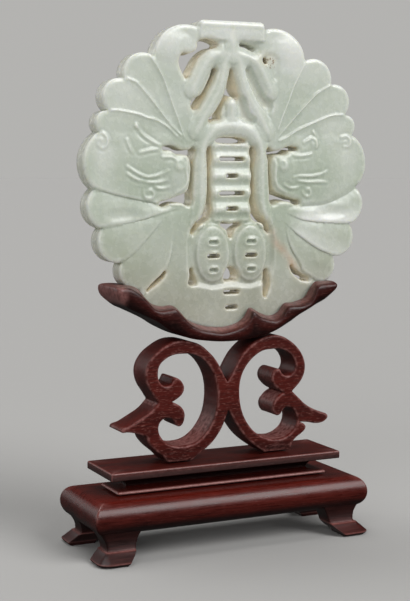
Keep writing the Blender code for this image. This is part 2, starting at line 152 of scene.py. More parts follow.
# Relief lines. Ridges part the upper feathers; threads draw the bats.
RIDGES = (
    ((-16.8, 22.1), (-15.5, 20.4), (-14.6, 18.9), (-14.1, 18.0), (-13.4, 16.2), (-12.7, 14.4),
     (-12.0, 12.6), (-11.2, 10.7), (-10.5, 8.9), (-10.0, 7.6)),
    ((-21.6, 17.9), (-19.6, 17.2), (-18.0, 15.7), (-16.6, 14.2), (-15.2, 12.6), (-13.9, 11.0),
     (-12.6, 9.6), (-11.6, 8.6), (-10.6, 7.7)),
    ((-25.0, 12.0), (-22.9, 12.0), (-20.4, 11.6), (-18.9, 11.3), (-17.4, 10.8), (-15.9, 10.5),
     (-14.6, 9.9), (-13.4, 9.2), (-12.4, 8.4), (-11.4, 7.4)),
    ((15.9, 22.1), (14.8, 20.0), (13.2, 17.0), (12.0, 14.0), (10.8, 11.3), (9.9, 9.0)),
    ((21.8, 17.8), (18.5, 16.0), (16.5, 14.2), (14.7, 12.5), (13.0, 10.8), (11.5, 9.2), (10.1, 7.8)),
    ((25.0, 12.0), (22.0, 11.8), (19.5, 11.0), (17.5, 10.2), (15.0, 9.2), (13.0, 8.2), (11.5, 7.3),
     (10.1, 6.8)),
)
THREADS = (
    ((-19.5, 9.3), (-18.4, 7.9), (-17.6, 7.2), (-16.4, 6.5), (-15.4, 5.9), (-14.8, 5.7)),
    ((-21.4, 6.7), (-21.0, 5.4), (-20.4, 4.5)),
    ((-19.0, 4.4), (-16.9, 4.9), (-15.2, 5.1)),
    ((-27.4, 8.0), (-26.0, 7.9), (-25.2, 6.9), (-25.4, 5.6), (-26.4, 5.2), (-27.1, 5.9)),
    ((-14.4, 3.6), (-12.4, 3.6), (-11.6, 3.0)),
    ((-9.9, 3.8), (-9.3, 3.0), (-9.4, 2.0), (-9.6, 1.0), (-9.3, -0.4), (-9.7, -1.6), (-10.4, -2.3),
     (-11.8, -2.9)),
    ((-21.5, 1.9), (-20.0, 0.9), (-18.5, 0.2), (-17.4, -0.1), (-16.0, 0.1), (-14.7, 0.5), (-13.4, 1.1)),
    ((-21.3, 0.5), (-19.8, -0.4), (-18.5, -0.7)),
    ((-18.0, -0.8), (-16.4, -1.1), (-14.9, -1.0), (-13.6, -0.6)),
    ((-18.2, -2.6), (-18.0, -3.6), (-17.0, -4.0), (-16.1, -3.4), (-16.7, -2.5), (-17.5, -2.8)),
    ((-16.0, -1.8), (-14.6, -2.2), (-13.2, -1.9)),
    ((13.6, 3.9), (15.6, 4.0), (17.2, 4.3)),
    ((15.6, 6.4), (17.4, 7.4), (18.4, 6.6), (18.3, 5.6)),
    ((17.7, 8.6), (18.6, 7.2)),
    ((24.0, 7.6), (25.4, 7.8), (26.0, 6.8), (25.5, 5.8), (24.6, 5.7)),
    ((13.3, -0.2), (15.0, 0.0), (17.0, 0.0), (19.0, 0.3), (20.6, 0.9)),
    ((14.0, -0.8), (16.0, -1.1), (18.5, -1.1), (20.6, -1.2)),
    ((8.9, 3.2), (9.4, 1.8), (9.2, 0.4), (9.4, -1.2), (10.3, -2.3), (11.6, -3.0)),
    ((15.3, -3.0), (16.0, -3.9), (17.0, -3.6), (16.8, -2.6), (16.0, -2.6)),
    ((11.2, -1.6), (12.6, -2.3), (14.2, -2.2)),
)
# Creases between the lower feathers: lip of the feather above, drop, width above, width below, line.
VALLEYS = (
    (0.14, 0.3, 0.6, 3.0, ((-27.7, -2.2), (-24.4, -3.2), (-21.4, -3.9), (-18.4, -4.5), (-14.4, -5.2),
                            (-10.6, -5.6))),
    (0.12, 0.26, 0.8, 2.6, ((-26.3, -9.4), (-23.4, -8.9), (-20.4, -8.4), (-17.4, -7.8), (-14.9, -7.0),
                           (-11.5, -6.2))),
    (0.14, 0.18, 0.9, 2.2, ((-22.5, -15.7), (-20.6, -14.6), (-18.8, -13.0), (-17.0, -11.2),
                            (-15.2, -9.2), (-14.0, -7.8))),
    (0.12, 0.2, 0.7, 1.6, ((-17.6, -21.2), (-16.0, -19.6), (-14.9, -18.6), (-13.8, -17.5),
                            (-12.9, -15.9), (-12.3, -13.4), (-12.2, -10.8))),
    (0.0, 0.4, 1.6, 2.0, ((27.7, -2.2), (26.2, -3.2), (24.4, -4.1), (20.6, -5.5), (17.2, -5.8),
                          (14.1, -5.8), (12.6, -5.9))),
    (0.2, 0.28, 0.6, 2.6, ((26.3, -9.4), (23.6, -9.3), (20.6, -9.2), (16.6, -8.8), (14.5, -8.3),
                           (12.7, -7.5))),
    (0.2, 0.24, 0.7, 2.4, ((22.5, -15.7), (20.2, -14.9), (18.7, -14.2), (17.0, -13.2), (14.9, -11.8),
                           (13.4, -10.7), (11.9, -9.4))),
    (0.14, 0.24, 0.7, 1.8, ((19.2, -20.9), (15.7, -18.7), (14.6, -16.7), (13.2, -14.7), (12.1, -12.3),
                            (11.7, -10.2))),
)
VALLEY_LINES = tuple(line for *_, line in VALLEYS)
# Rounded bars of the middle: crest level below the front plane, half width, line.
RIB_BARS = (
    (0.05, 1.7, ((0.0, 27.0), (0.0, 24.5), (0.0, 22.6))),
    (0.12, 1.7, ((-0.4, 23.0), (-2.6, 22.8), (-4.6, 21.9), (-6.1, 20.2), (-7.2, 18.3), (-8.3, 16.0))),
    (0.12, 1.7, ((0.4, 23.0), (2.6, 22.8), (4.6, 21.9), (6.1, 20.2), (7.2, 18.3), (8.3, 16.0))),
    (0.08, 1.8, ((-0.5, 23.0), (-1.5, 21.6), (-1.9, 19.5), (-2.5, 17.0), (-3.6, 14.8), (-4.9, 12.7),
                 (-6.3, 10.6), (-7.5, 8.4))),
    (0.08, 1.8, ((0.5, 23.0), (1.5, 21.6), (1.9, 19.5), (2.5, 17.0), (3.6, 14.8), (4.9, 12.7),
                 (6.3, 10.6), (7.5, 8.4))),
    (0.10, 1.75, ((-7.2, -8.4), (-6.5, -5.0), (-6.4, 0.0), (-6.3, 4.0), (-5.8, 6.4), (-4.4, 8.2),
                  (-2.4, 9.2), (0.0, 9.5), (2.4, 9.2), (4.4, 8.2), (5.8, 6.4), (6.3, 4.0),
                  (6.4, 0.0), (6.5, -5.0), (7.2, -8.4))),
    (0.25, 1.2, ((0.0, 13.6), (0.0, 12.0), (0.0, 10.6))),
)

# ---------------------------------------------------------------- stand drawing
# Cradle: height of the inner lip, of the outer crest and of the belly along its length.
CRADLE_LIP = (
    (-23.2, 50.1), (-20.6, 50.2), (-18.4, 49.6), (-16.9, 48.0), (-15.3, 46.5), (-13.4, 46.0),
    (-11.6, 46.1), (-10.2, 45.4), (-8.2, 43.3), (-5.2, 42.0), (-1.3, 41.5), (1.9, 42.0),
    (3.8, 43.2), (5.0, 44.9), (7.3, 43.8), (9.3, 43.2), (11.1, 43.8), (12.5, 45.4),
    (14.5, 45.6), (17.0, 46.4), (18.2, 48.0), (19.3, 49.3), (21.0, 49.5), (23.2, 49.5),
)
CRADLE_CREST = (
    (-23.2, 49.9), (-20.9, 49.8), (-19.5, 49.2), (-18.1, 48.2), (-16.9, 47.0), (-15.9, 46.0),
    (-14.9, 45.5), (-13.9, 45.4), (-11.9, 45.6), (-11.3, 45.4), (-10.4, 44.5), (-9.4, 43.5),
    (-8.4, 42.6), (-7.2, 41.9), (-5.9, 41.4), (-3.4, 40.9), (-1.9, 40.7), (0.6, 41.1),
    (2.1, 41.6), (3.3, 42.3), (4.1, 43.1), (4.7, 44.3), (6.1, 43.4), (7.1, 43.0), (9.1, 42.5),
    (10.1, 42.7), (11.1, 43.4), (11.8, 44.4), (12.6, 45.0), (15.1, 45.1), (16.6, 45.6),
    (17.4, 46.1), (17.9, 46.9), (18.3, 47.9), (18.7, 48.7), (20.1, 49.0), (23.2, 49.2),
)
CRADLE_BELLY = (
    (0.0, 38.85), (4.0, 39.1), (8.4, 39.9), (12.4, 41.7), (15.0, 43.3), (18.9, 45.2),
    (20.6, 46.0), (22.6, 47.6), (23.2, 48.4),
)
# The two C-scrolls were cut by hand, so their halves are drawn apart.
SCROLL_OUTSIDE = (
    (0.15, 30.95), (1.0, 32.2), (2.0, 34.05), (3.2, 35.85), (4.6, 37.25), (6.2, 38.35), (8.0, 39.05),
    (10.0, 39.35), (11.8, 39.1), (13.5, 38.25), (15.0, 37.1), (16.2, 35.65), (16.9, 34.15),
    (17.1, 32.65), (16.8, 31.15), (16.0, 29.8), (14.8, 28.6), (14.25, 28.1), (15.8, 26.65),
    (17.2, 25.35), (19.0, 24.25), (21.0, 23.4), (22.2, 22.85), (22.35, 22.4), (21.8, 21.7),
    (20.8, 21.3), (19.4, 21.3), (17.8, 21.65), (16.1, 21.85), (17.3, 21.0), (17.2, 20.3),
    (16.3, 19.5), (15.2, 18.8), (14.4, 17.9), (13.9, 16.36), (8.4, 16.36), (7.4, 17.05), (6.2, 17.9),
    (5.0, 18.85), (3.8, 20.05), (2.6, 21.65), (1.5, 23.35), (0.7, 24.8), (0.3, 25.35),
    (-0.3, 23.85), (-1.0, 22.25), (-1.9, 20.85), (-2.9, 19.65), (-4.2, 18.55), (-5.4, 17.75),
    (-6.6, 16.95), (-7.4, 16.36), (-12.3, 16.36), (-12.8, 17.0), (-13.8, 17.95), (-15.0, 18.95),
    (-15.9, 19.95), (-16.5, 20.85), (-16.7, 21.65), (-17.6, 22.05), (-19.0, 22.5), (-20.5, 22.8),
    (-21.6, 22.85), (-21.8, 23.15), (-20.0, 24.0), (-18.0, 25.05), (-16.0, 26.2), (-14.3, 27.85),
    (-15.4, 29.6), (-16.2, 30.85), (-16.7, 32.2), (-16.8, 33.9), (-16.3, 35.4), (-15.2, 36.85),
    (-13.5, 38.1), (-11.5, 39.1), (-9.5, 39.38), (-7.5, 39.1), (-5.5, 38.3), (-4.0, 37.1),
    (-2.7, 35.8), (-1.6, 34.2), (-0.8, 32.6),
)
SCROLL_OUTSIDE_CORNERS = (0, 17, 28, 34, 35, 43, 51, 52, 58, 67)
SCROLL_INSIDE_RIGHT = (
    (9.6, 36.65), (8.0, 36.5), (6.5, 35.85), (5.2, 34.85), (3.7, 33.0), (2.95, 31.1), (2.7, 29.1),
    (2.8, 27.2), (3.2, 25.2), (3.9, 23.5), (4.9, 21.95), (6.1, 20.65), (7.5, 19.8), (9.0, 19.15),
    (10.6, 18.85), (12.2, 18.95), (13.6, 19.55), (14.8, 20.65), (15.3, 21.9), (15.2, 23.2),
    (14.6, 24.4), (13.6, 25.0), (12.7, 24.95), (12.1, 24.4), (11.6, 23.75), (11.0, 23.5),
    (10.3, 24.0), (9.9, 24.9), (10.0, 25.9), (10.6, 26.7), (11.5, 27.5), (12.4, 27.95),
    (11.4, 28.5), (10.4, 29.4), (9.75, 30.4), (9.7, 31.4), (10.2, 32.3), (11.0, 32.7), (11.55, 32.55),
    (11.85, 31.95), (12.4, 31.45), (13.3, 31.25), (14.2, 31.6), (14.8, 32.4), (14.9, 33.5),
    (14.5, 34.6), (13.7, 35.6), (12.5, 36.3), (11.0, 36.65),
)
SCROLL_INSIDE_RIGHT_CORNERS = (31,)
SCROLL_INSIDE_LEFT = (
    (-9.2, 36.85), (-11.2, 36.7), (-12.8, 36.0), (-13.9, 35.0), (-14.3, 33.6), (-14.1, 32.1),
    (-13.4, 31.2), (-12.5, 30.95), (-11.7, 31.2), (-11.25, 31.9), (-10.9, 32.4), (-10.0, 32.1),
    (-9.3, 31.4), (-8.95, 30.4), (-9.3, 29.3), (-10.2, 28.5), (-11.4, 27.85), (-10.3, 27.3),
    (-9.3, 26.5), (-8.85, 25.5), (-8.9, 24.5), (-9.3, 23.5), (-9.95, 23.05), (-10.5, 23.3),
    (-10.9, 23.9), (-11.5, 24.6), (-12.4, 24.9), (-13.4, 24.6), (-14.1, 23.8), (-14.25, 22.7),
    (-13.7, 21.3), (-12.5, 20.05), (-10.8, 19.4), (-8.8, 19.25), (-6.8, 19.65), (-5.2, 20.65),
    (-3.9, 22.05), (-3.0, 23.5), (-2.4, 25.1), (-2.1, 26.8), (-2.0, 28.7), (-2.2, 30.6),
    (-2.7, 32.3), (-3.7, 34.1), (-5.2, 35.7), (-7.0, 36.6),
)
SCROLL_INSIDE_LEFT_CORNERS = (16,)
# Left where the foot was pared flat at the front: U from, U to, and the height it starts at.
PARED_FOOT = (8.3, 14.0, 17.9)

# Mouldings: inset from the box's side and height above its bottom.
PLINTH_PROFILE = (
    (2.4, 0.0), (2.17, 0.0), (2.08, 0.05), (2.04, 0.14), (2.04, 0.24), (2.08, 0.36), (2.18, 0.47),
    (2.34, 0.55), (2.6, 0.58), (3.9, 0.6), (4.6, 0.66), (4.9, 0.85), (4.87, 1.15), (4.72, 1.5),
    (4.4, 1.95), (3.9, 2.35), (3.2, 2.68), (2.3, 2.92), (1.3, 3.06), (0.3, 3.11), (0.08, 3.16),
    (0.0, 3.27), (0.0, 3.8), (0.0, 4.2), (0.0, 4.33), (0.03, 4.43), (0.1, 4.53), (0.2, 4.59), (0.34, 4.61),
    (0.8, 4.61),
)
# Inset, height, width and strength of the pale lines on the plinth's arrises: painted highlights with some
# rubbed wear.
PLINTH_ARRISES = ((2.08, 0.36, 0.3, 1.0), (0.08, 4.55, 0.13, 0.75), (0.0, 3.7, 0.6, 0.3))
# Heights between which a moulding gets painted shade, with dust dulling its gloss, and how much.
PLINTH_SHADE_AND_DUST = (12.0, 15.9, 0.7)
BASE_SHADE_AND_DUST = (2.2, 7.2, 0.7)
# The base slab: half its length and depth, the height of its underside and how far its edge swells.
SLAB_HALF_LENGTH = 28.5
SLAB_HALF_DEPTH = 10.0
SLAB_UNDERSIDE = 5.2
SLAB_SWELLING = 2.5
BASE_PROFILE_STEPS = 26
# Heights and strengths of the painted highlight lines on the feet, and the rounding of their inner corners.
FOOT_LINES = ((2.38, 0.8), (0.7, 0.6))
FOOT_EASING = 0.3
FOOT_SECTIONS = (
    # height, inner end, outer end, inner side, outer side, corner radius
    (6.6, 18.9, 27.5, 3.3, 9.0, 0.8),
    (5.9, 19.1, 27.3, 3.5, 8.95, 0.8),
    (5.1, 19.5, 26.8, 3.9, 8.75, 0.7),
    (4.3, 19.9, 26.3, 4.2, 8.7, 0.6),
    (3.5, 20.2, 26.0, 4.45, 8.8, 0.5),
    (2.75, 20.4, 25.9, 4.6, 8.95, 0.5),
    (2.45, 20.45, 25.95, 4.7, 9.05, 0.5),
    (2.38, 20.5, 26.3, 4.7, 9.45, 0.6),
    (2.3, 20.55, 26.45, 4.75, 9.62, 0.7),
    (2.1, 20.65, 26.6, 4.85, 9.8, 0.8),
    (1.6, 21.1, 27.2, 5.1, 10.4, 1.2),
    (1.1, 21.7, 27.75, 5.4, 11.0, 1.7),
    (0.8, 22.1, 28.1, 5.6, 11.4, 2.0),
    (0.66, 22.3, 28.25, 5.7, 11.65, 2.2),
    (0.5, 22.45, 28.25, 5.75, 11.68, 2.3),
    (0.2, 22.6, 28.0, 5.8, 11.4, 2.2),
    (0.0, 22.7, 27.7, 5.85, 11.1, 2.1),
)


def linear(hex_code):
    """Linear RGBA of an sRGB colour written as #rrggbb."""
    channels = [int(hex_code[place:place + 2], 16) / 255.0 for place in (1, 3, 5)]
    return tuple(
        value / 12.92 if value <= 0.04045 else ((value + 0.055) / 1.055) ** 2.4
        for value in channels
    ) + (1.0,)


def colour_setting(name, description, hex_code):
    """A colour that a user may change."""
    return FloatVectorProperty(
        name=name, description=description, default=linear(hex_code),
        size=4, min=0.0, max=1.0, subtype="COLOR",
    )


def length_setting(name, description, millimetres):
    """A length that a user may change."""
    return FloatProperty(
        name=name, description=description, default=millimetres * MM,
        min=0.0, precision=5, subtype="DISTANCE", unit="LENGTH",
    )


def strength_setting(name, description, default):
    """The strength of a light that a user may change."""
    return FloatProperty(name=name, description=description, default=default, min=0.0)


class JadeSettings(bpy.types.PropertyGroup):
    """Sizes and colours of the jade."""

    rim_rounding: length_setting("Rim Rounding", "How far the outer rim is rounded in", 0.85)
    rim_drop: length_setting("Rim Drop", "How far the outer rim falls back", 0.5)
    ridge_height: length_setting("Ridge Height", "Height of the ridges between upper feathers", 0.22)
    thread_height: length_setting("Thread Height", "Height of the lines that draw the bats", 0.15)
    mesh_spacing: length_setting("Mesh Spacing", "Distance between points on the front", 0.22)
    pale: colour_setting("Pale Jade", "The whiter clouds", "#eaede8")
    green: colour_setting("Green Jade", "The greener ground", "#aebba6")
    # The sawn walls' warm stain, kept pale as painted glow of light through the stone.
    stain: colour_setting("Sawn Wall", "Warm tone of the sawn inner walls", "#f1e9d4")
    rust: colour_setting("Rust", "Brown specks in the flaws", "#8a6a40")


class StandSettings(bpy.types.PropertyGroup):
    """Sizes and colours of the hardwood stand."""

    edge_rounding: length_setting("Edge Rounding", "Rounding of the scroll board's edges", 0.38)
    corner_rounding: length_setting("Corner Rounding", "Rounding of the mitred corners", 0.3)
    board_spacing: length_setting("Board Spacing", "Distance between points on the scroll board", 0.3)
    dark: colour_setting("Dark Fibre", "The darker fibres", "#1c0706")
    red: colour_setting("Red Fibre", "The redder fibres", "#661a10")
    pore: colour_setting("Waxed Pore", "Wax and dust held in the open pores", "#9c6258")
    # Pale edges: real wear, and painted highlights where light catches edges, crests and up-facing sawn
    # walls.
    worn_and_lit: colour_setting("Worn Edge", "Edges rubbed pale", "#a8746f")


class StudioSettings(bpy.types.PropertyGroup):
    """Colours and brightness of the studio."""

    floor: colour_setting("Floor", "Plain pale floor", "#b5b4b2")
    air: colour_setting("Surroundings", "Plain pale surroundings", "#e4e3e0")
    key_strength: strength_setting("Right Light", "Broad light at the front right", 2.1)
    fill_strength: strength_setting("Left Light", "Broad light at the front left", 0.75)
    rim_strength: strength_setting("Back Light", "Light that grazes the left side from behind", 0.5)
    overhead_strength: strength_setting("Overhead Light", "Broad light above", 1.2)


# ---------------------------------------------------------------- drawing helpers
def link_object(name, data):
    """A new object at the origin for a mesh, curve, light or camera."""
    item = bpy.data.objects.new(name, data)
    bpy.context.scene.collection.objects.link(item)
    return item


def taken_mesh(source):
    """The evaluated result of an object as a plain mesh; its modifiers and the object are removed."""
    bpy.context.view_layer.update()
    evaluated = source.evaluated_get(bpy.context.evaluated_depsgraph_get())
    mesh = bpy.data.meshes.new_from_object(evaluated)
    source.modifiers.clear()
    bpy.data.objects.remove(source, do_unlink=True)
    return mesh


def mesh_from(work, name):
    """A new mesh from a bmesh, which is freed."""
    mesh = bpy.data.meshes.new(name)
    work.to_mesh(mesh)
    work.free()
    return mesh


def middle_and_half(box, axis):
    """The middle of a CAD node's box and half its size along one axis, in millimetres."""
    low, high = box[0][axis], box[1][axis]
    return (low + high) / 2.0 / MM, (high - low) / 2.0 / MM


def arc_points(start, end, rise, steps):
    """Points of a circular arc that bulges to the left of the way from start to end."""
    chord = math.dist(start, end)
    radius = chord * chord / (8.0 * rise) + rise / 2.0
    along = ((end[0] - start[0]) / chord, (end[1] - start[1]) / chord)
    outward = (-along[1], along[0])
    half_angle = math.asin(chord / (2.0 * radius))
    points = []
    for step in range(steps + 1):
        angle = half_angle * (2.0 * step / steps - 1.0)
        shift = radius * math.sin(angle) + chord / 2.0
        lift = radius * (math.cos(angle) - math.cos(half_angle))
        points.append((
            start[0] + along[0] * shift + outward[0] * lift,
            start[1] + along[1] * shift + outward[1] * lift,
        ))
    return points


def mirrored_loop(half):
    """Close a half outline that starts and ends on the axis with its mirror image."""
    middle = [point for point in half if point[0] > 0.0]
    first = [half[0]] if half[0][0] == 0.0 else []
    last = [half[-1]] if half[-1][0] == 0.0 else []
    return first + middle + last + [(-u, v) for u, v in reversed(middle)]


def mirrored_points(points):
    """The mirror image of a closed outline."""
    return [(-u, v) for u, v in points]


def plaque_outline():
    """The scalloped rim: a flat bar on top, nine lobes down each side, one wide lobe below."""
    half = list(TOP_BAR)
    for start, end, rise in zip(LOBE_NOTCHES, LOBE_NOTCHES[1:], LOBE_RISES):
        half += arc_points(start, end, rise, LOBE_STEPS)[:-1]
    last = LOBE_NOTCHES[-1]
    bottom = arc_points(last, (-last[0], last[1]), BOTTOM_LOBE_RISE, 4 * LOBE_STEPS)
    half += bottom[:2 * LOBE_STEPS]
    half.append((0.0, bottom[2 * LOBE_STEPS][1]))
    return mirrored_loop(half)


def stroke_outline(u, v, half_length):
    """A short level stroke with round ends."""
    height = STROKE_HALF_HEIGHT
    straight = half_length - height
    points = []
    for side in (1.0, -1.0):
        for step in range(9):
            angle = side * math.pi / 2.0 - step * math.pi / 8.0
            points.append((u + side * straight + height * math.cos(angle), v + height * math.sin(angle)))
    return points


def smooth_loop(points, corners=()):
    """The smooth closed curve through the points, as a dense row of points."""
    curve = bpy.data.curves.new("smooth_loop", "CURVE")
    curve.dimensions = "3D"
    curve.resolution_u = 14
    spline = curve.splines.new("BEZIER")
    spline.bezier_points.add(len(points) - 1)
    for index, (knot, (u, v)) in enumerate(zip(spline.bezier_points, points)):
        knot.co = (u, v, 0.0)
        kind = "VECTOR" if index in corners else "AUTO"
        knot.handle_left_type = kind
        knot.handle_right_type = kind
    spline.use_cyclic_u = True
    mesh = taken_mesh(link_object("smooth_loop", curve))
    row = np.array([vertex.co[:2] for vertex in mesh.vertices])
    bpy.data.curves.remove(curve)
    bpy.data.meshes.remove(mesh)
    return row


def evenly_spaced(line, spacing, fewest, endpoint):
    """Points about that far apart along a row of points."""
    reach = np.concatenate([[0.0], np.cumsum(np.hypot(*np.diff(line, axis=0).T))])
    count = max(fewest, round(reach[-1] / spacing))
    places = np.linspace(0.0, reach[-1], count, endpoint=endpoint)
    return np.stack([np.interp(places, reach, line[:, axis]) for axis in (0, 1)], axis=1)


def even_loop(row, spacing):
    """The same closed row of points, spaced evenly."""
    row = np.asarray(row, float)
    return evenly_spaced(np.vstack([row, row[:1]]), spacing, 8, endpoint=False)


def smooth_path(points, spacing=0.4):
    """An open line through the points, rounded at them and spaced evenly."""
    knots = np.asarray(points, float)
    padded = np.vstack([2 * knots[0] - knots[1], knots, 2 * knots[-1] - knots[-2]])
    pieces = []
    for first, start, end, after in zip(padded, padded[1:], padded[2:], padded[3:]):
        share = np.linspace(0.0, 1.0, 9)[:-1, None]
        pieces.append(0.5 * (
            2 * start + (end - first) * share
            + (2 * first - 5 * start + 4 * end - after) * share ** 2
            + (3 * start - first - 3 * end + after) * share ** 3
        ))
    return evenly_spaced(np.vstack(pieces + [knots[-1:]]), spacing, 3, endpoint=True)


def line_distance(points, line):
    """Distance of each point from an open line, positive on its left, and the share along it."""
    best = np.full(len(points), 1e9)
    side = np.ones(len(points))
    share = np.zeros(len(points))
    count = len(line) - 1
    for index in range(count):
        start = line[index]
        along = line[index + 1] - start
        offset = points - start
        place = np.clip(offset @ along / max(along @ along, 1e-12), 0.0, 1.0)
        gap = offset - place[:, None] * along
        distance = np.hypot(gap[:, 0], gap[:, 1])
        closer = distance < best
        best = np.where(closer, distance, best)
        turn = along[0] * offset[:, 1] - along[1] * offset[:, 0]
        side = np.where(closer, np.where(turn >= 0.0, 1.0, -1.0), side)
        share = np.where(closer, (index + place) / count, share)
    return best, side, share


def near_line(points, knots, spacing=0.4):
    """Distance, side and share along, for the smooth line through some knots."""
    return line_distance(points, smooth_path(knots, spacing))


def above(side, line):
    """Which points lie above a line that was drawn from the rim towards the middle."""
    return (side > 0.0) != (line[0][0] > 0.0)


def smooth_step(value):
    """Zero to one with soft ends."""
    value = np.clip(value, 0.0, 1.0)
    return value * value * (3.0 - 2.0 * value)


def bell(value, width):
    """One at zero, falling off on both sides."""
    return np.exp(-(value / width) ** 2)


def nearness(distance, reach):
    """One at no distance, falling evenly to zero at that reach."""
    return np.clip(1.0 - distance / reach, 0.0, 1.0)


def rounded_fall(distance, reach, drop):
    """How far a surface falls back towards its edge, in a quarter round."""
    share = nearness(distance, reach)
    return drop * (1.0 - np.sqrt(1.0 - share * share))


def left_normals(along):
    """Unit vectors to the left of the given directions."""
    along = along / np.maximum(np.hypot(along[:, 0], along[:, 1]), 1e-9)[:, None]
    return np.stack([-along[:, 1], along[:, 0]], axis=1)


def inward_normals(loop):
    """Unit normals of a closed loop that point into the board."""
    return left_normals(np.roll(loop, -1, axis=0) - np.roll(loop, 1, axis=0))


def flat_tree(points):
    """A search tree over flat points."""
    tree = KDTree(len(points))
    for index, (u, v) in enumerate(points.tolist()):
        tree.insert((u, v, 0.0), index)
    tree.balance()
    return tree


def shade(mesh, degrees):
    """Shade a mesh smooth, apart from edges sharper than that."""
    mesh.shade_smooth()
    mesh.set_sharp_from_angle(angle=math.radians(degrees))


def inside_loop(points, loop):
    """Which points lie inside one closed loop."""
    inside = np.zeros(len(points), bool)
    for start, end in zip(loop, np.roll(loop, -1, axis=0)):
        if start[1] == end[1]:
            continue
        crosses = (points[:, 1] >= min(start[1], end[1])) & (points[:, 1] < max(start[1], end[1]))
        reach = start[0] + (points[:, 1] - start[1]) * (end[0] - start[0]) / (end[1] - start[1])
        inside ^= crosses & (points[:, 0] < reach)
    return inside


# ---------------------------------------------------------------- the jade plaque
def plaque_loops(spacing):
    """The rim and every sawn opening, each as evenly spaced points with its name."""
    outlines = []
    for name, outline in SIDE_OPENINGS.items():
        outlines += [(name, outline), (name, mirrored_points(outline))]
    outlines += SINGLE_OPENINGS.items()
    outlines += [(name, mirrored_loop(half)) for name, half in MIDDLE_OPENINGS.items()]
    loops = [(even_loop(plaque_outline(), spacing), "rim")]
    loops += [(even_loop(smooth_loop(outline), spacing), name) for name, outline in outlines]
    loops += [(even_loop(stroke_outline(*stroke), spacing), "stroke") for stroke in SAWN_STROKES]
    return turned_loops(loops)


def turned_loops(loops):
    """The same loops, each running with the board on its left; the first is the outline."""
    turned = []
    for place, (loop, name) in enumerate(loops):
        area = np.sum(loop[:, 0] * np.roll(loop[:, 1], -1) - np.roll(loop[:, 0], -1) * loop[:, 1])
        wanted = 1.0 if place == 0 else -1.0
        turned.append((loop if area * wanted > 0.0 else loop[::-1].copy(), name))
    return turned


# Rows of points follow each relief line at these distances, so that it is drawn crisply.
LINE_OFFSETS = (0.0, -0.17, 0.17, -0.36, 0.36)
# Points nearer to each other, or nearer to a ring or a row, than these shares of the spacing are
# left out, because they would make slivers.
TIGHTEST = 0.42
CLEARANCE = 0.55


class EdgeFinder:
    """Finds how far a point is from the nearest rim or opening."""

    def __init__(self, loops):
        dense = []
        self.names = []
        for loop, name in loops:
            for share in (0.0, 0.25, 0.5, 0.75):
                dense.append(loop + (np.roll(loop, -1, axis=0) - loop) * share)
                self.names += [name] * len(loop)
        self.tree = flat_tree(np.vstack(dense))

    def find(self, points):
        """Distance to the nearest edge and that edge's name, for each point."""
        found = [self.tree.find((u, v, 0.0)) for u, v in points.tolist()]
        distance = np.array([gap for _, _, gap in found])
        return distance, np.array([self.names[index] for _, index, _ in found])


def field_points(loops, spacing):
    """An even triangular field of points over the board, clear of its openings."""
    outline = loops[0][0]
    low = outline.min(axis=0)
    high = outline.max(axis=0)
    field = []
    for number, v in enumerate(np.arange(low[1], high[1], spacing * math.sqrt(3.0) / 2.0)):
        row_u = np.arange(low[0] + (number % 2) * spacing / 2.0, high[0], spacing)
        row = np.stack([row_u, np.full(len(row_u), v)], axis=1)
        crossings = []
        for loop, _ in loops:
            after = np.roll(loop, -1, axis=0)
            hit = (loop[:, 1] > v) != (after[:, 1] > v)
            share = (v - loop[hit, 1]) / (after[hit, 1] - loop[hit, 1])
            crossings.append(loop[hit, 0] + share * (after[hit, 0] - loop[hit, 0]))
        crossings = np.sort(np.concatenate(crossings))
        field.append(row[np.searchsorted(crossings, row_u) % 2 == 1])
    return np.vstack(field)


def sheet_points(loops, spacing, ring_offsets, lines=()):
    """Points that cover a board between its edges: rings, rows along relief lines, an even field."""
    finder = EdgeFinder(loops)
    rings = []
    for offset in ring_offsets:
        for loop, _ in loops:
            ring = loop + offset * inward_normals(loop)
            rings.append(ring[finder.find(ring)[0] > 0.93 * offset])
    rings = np.vstack(rings)
    field = field_points(loops, spacing)
    border_gap = max(ring_offsets) + CLEARANCE * spacing
    field = field[finder.find(field)[0] > border_gap]
    rows = [rings[inside_loop(rings, loops[0][0])]]
    for line in lines:
        path = smooth_path(line, 0.9 * spacing)
        across = left_normals(np.gradient(path, axis=0))
        for offset in LINE_OFFSETS:
            row = path + offset * across
            rows.append(row[(finder.find(row)[0] > border_gap) & inside_material(row, loops)])
    tight = np.vstack(rows)
    _, first = np.unique(np.round(tight / (TIGHTEST * spacing)), axis=0, return_index=True)
    tight = tight[np.sort(first)]
    if lines:
        tree = flat_tree(tight)
        gaps = np.array([tree.find((u, v, 0.0))[2] for u, v in field.tolist()])
        field = field[gaps > CLEARANCE * spacing]
    return np.vstack([tight, field]), finder


def inside_material(points, loops):
    """Which points lie within the outline and outside every opening."""
    inside = inside_loop(points, loops[0][0])
    for loop, _ in loops[1:]:
        inside &= ~inside_loop(points, loop)
    return inside


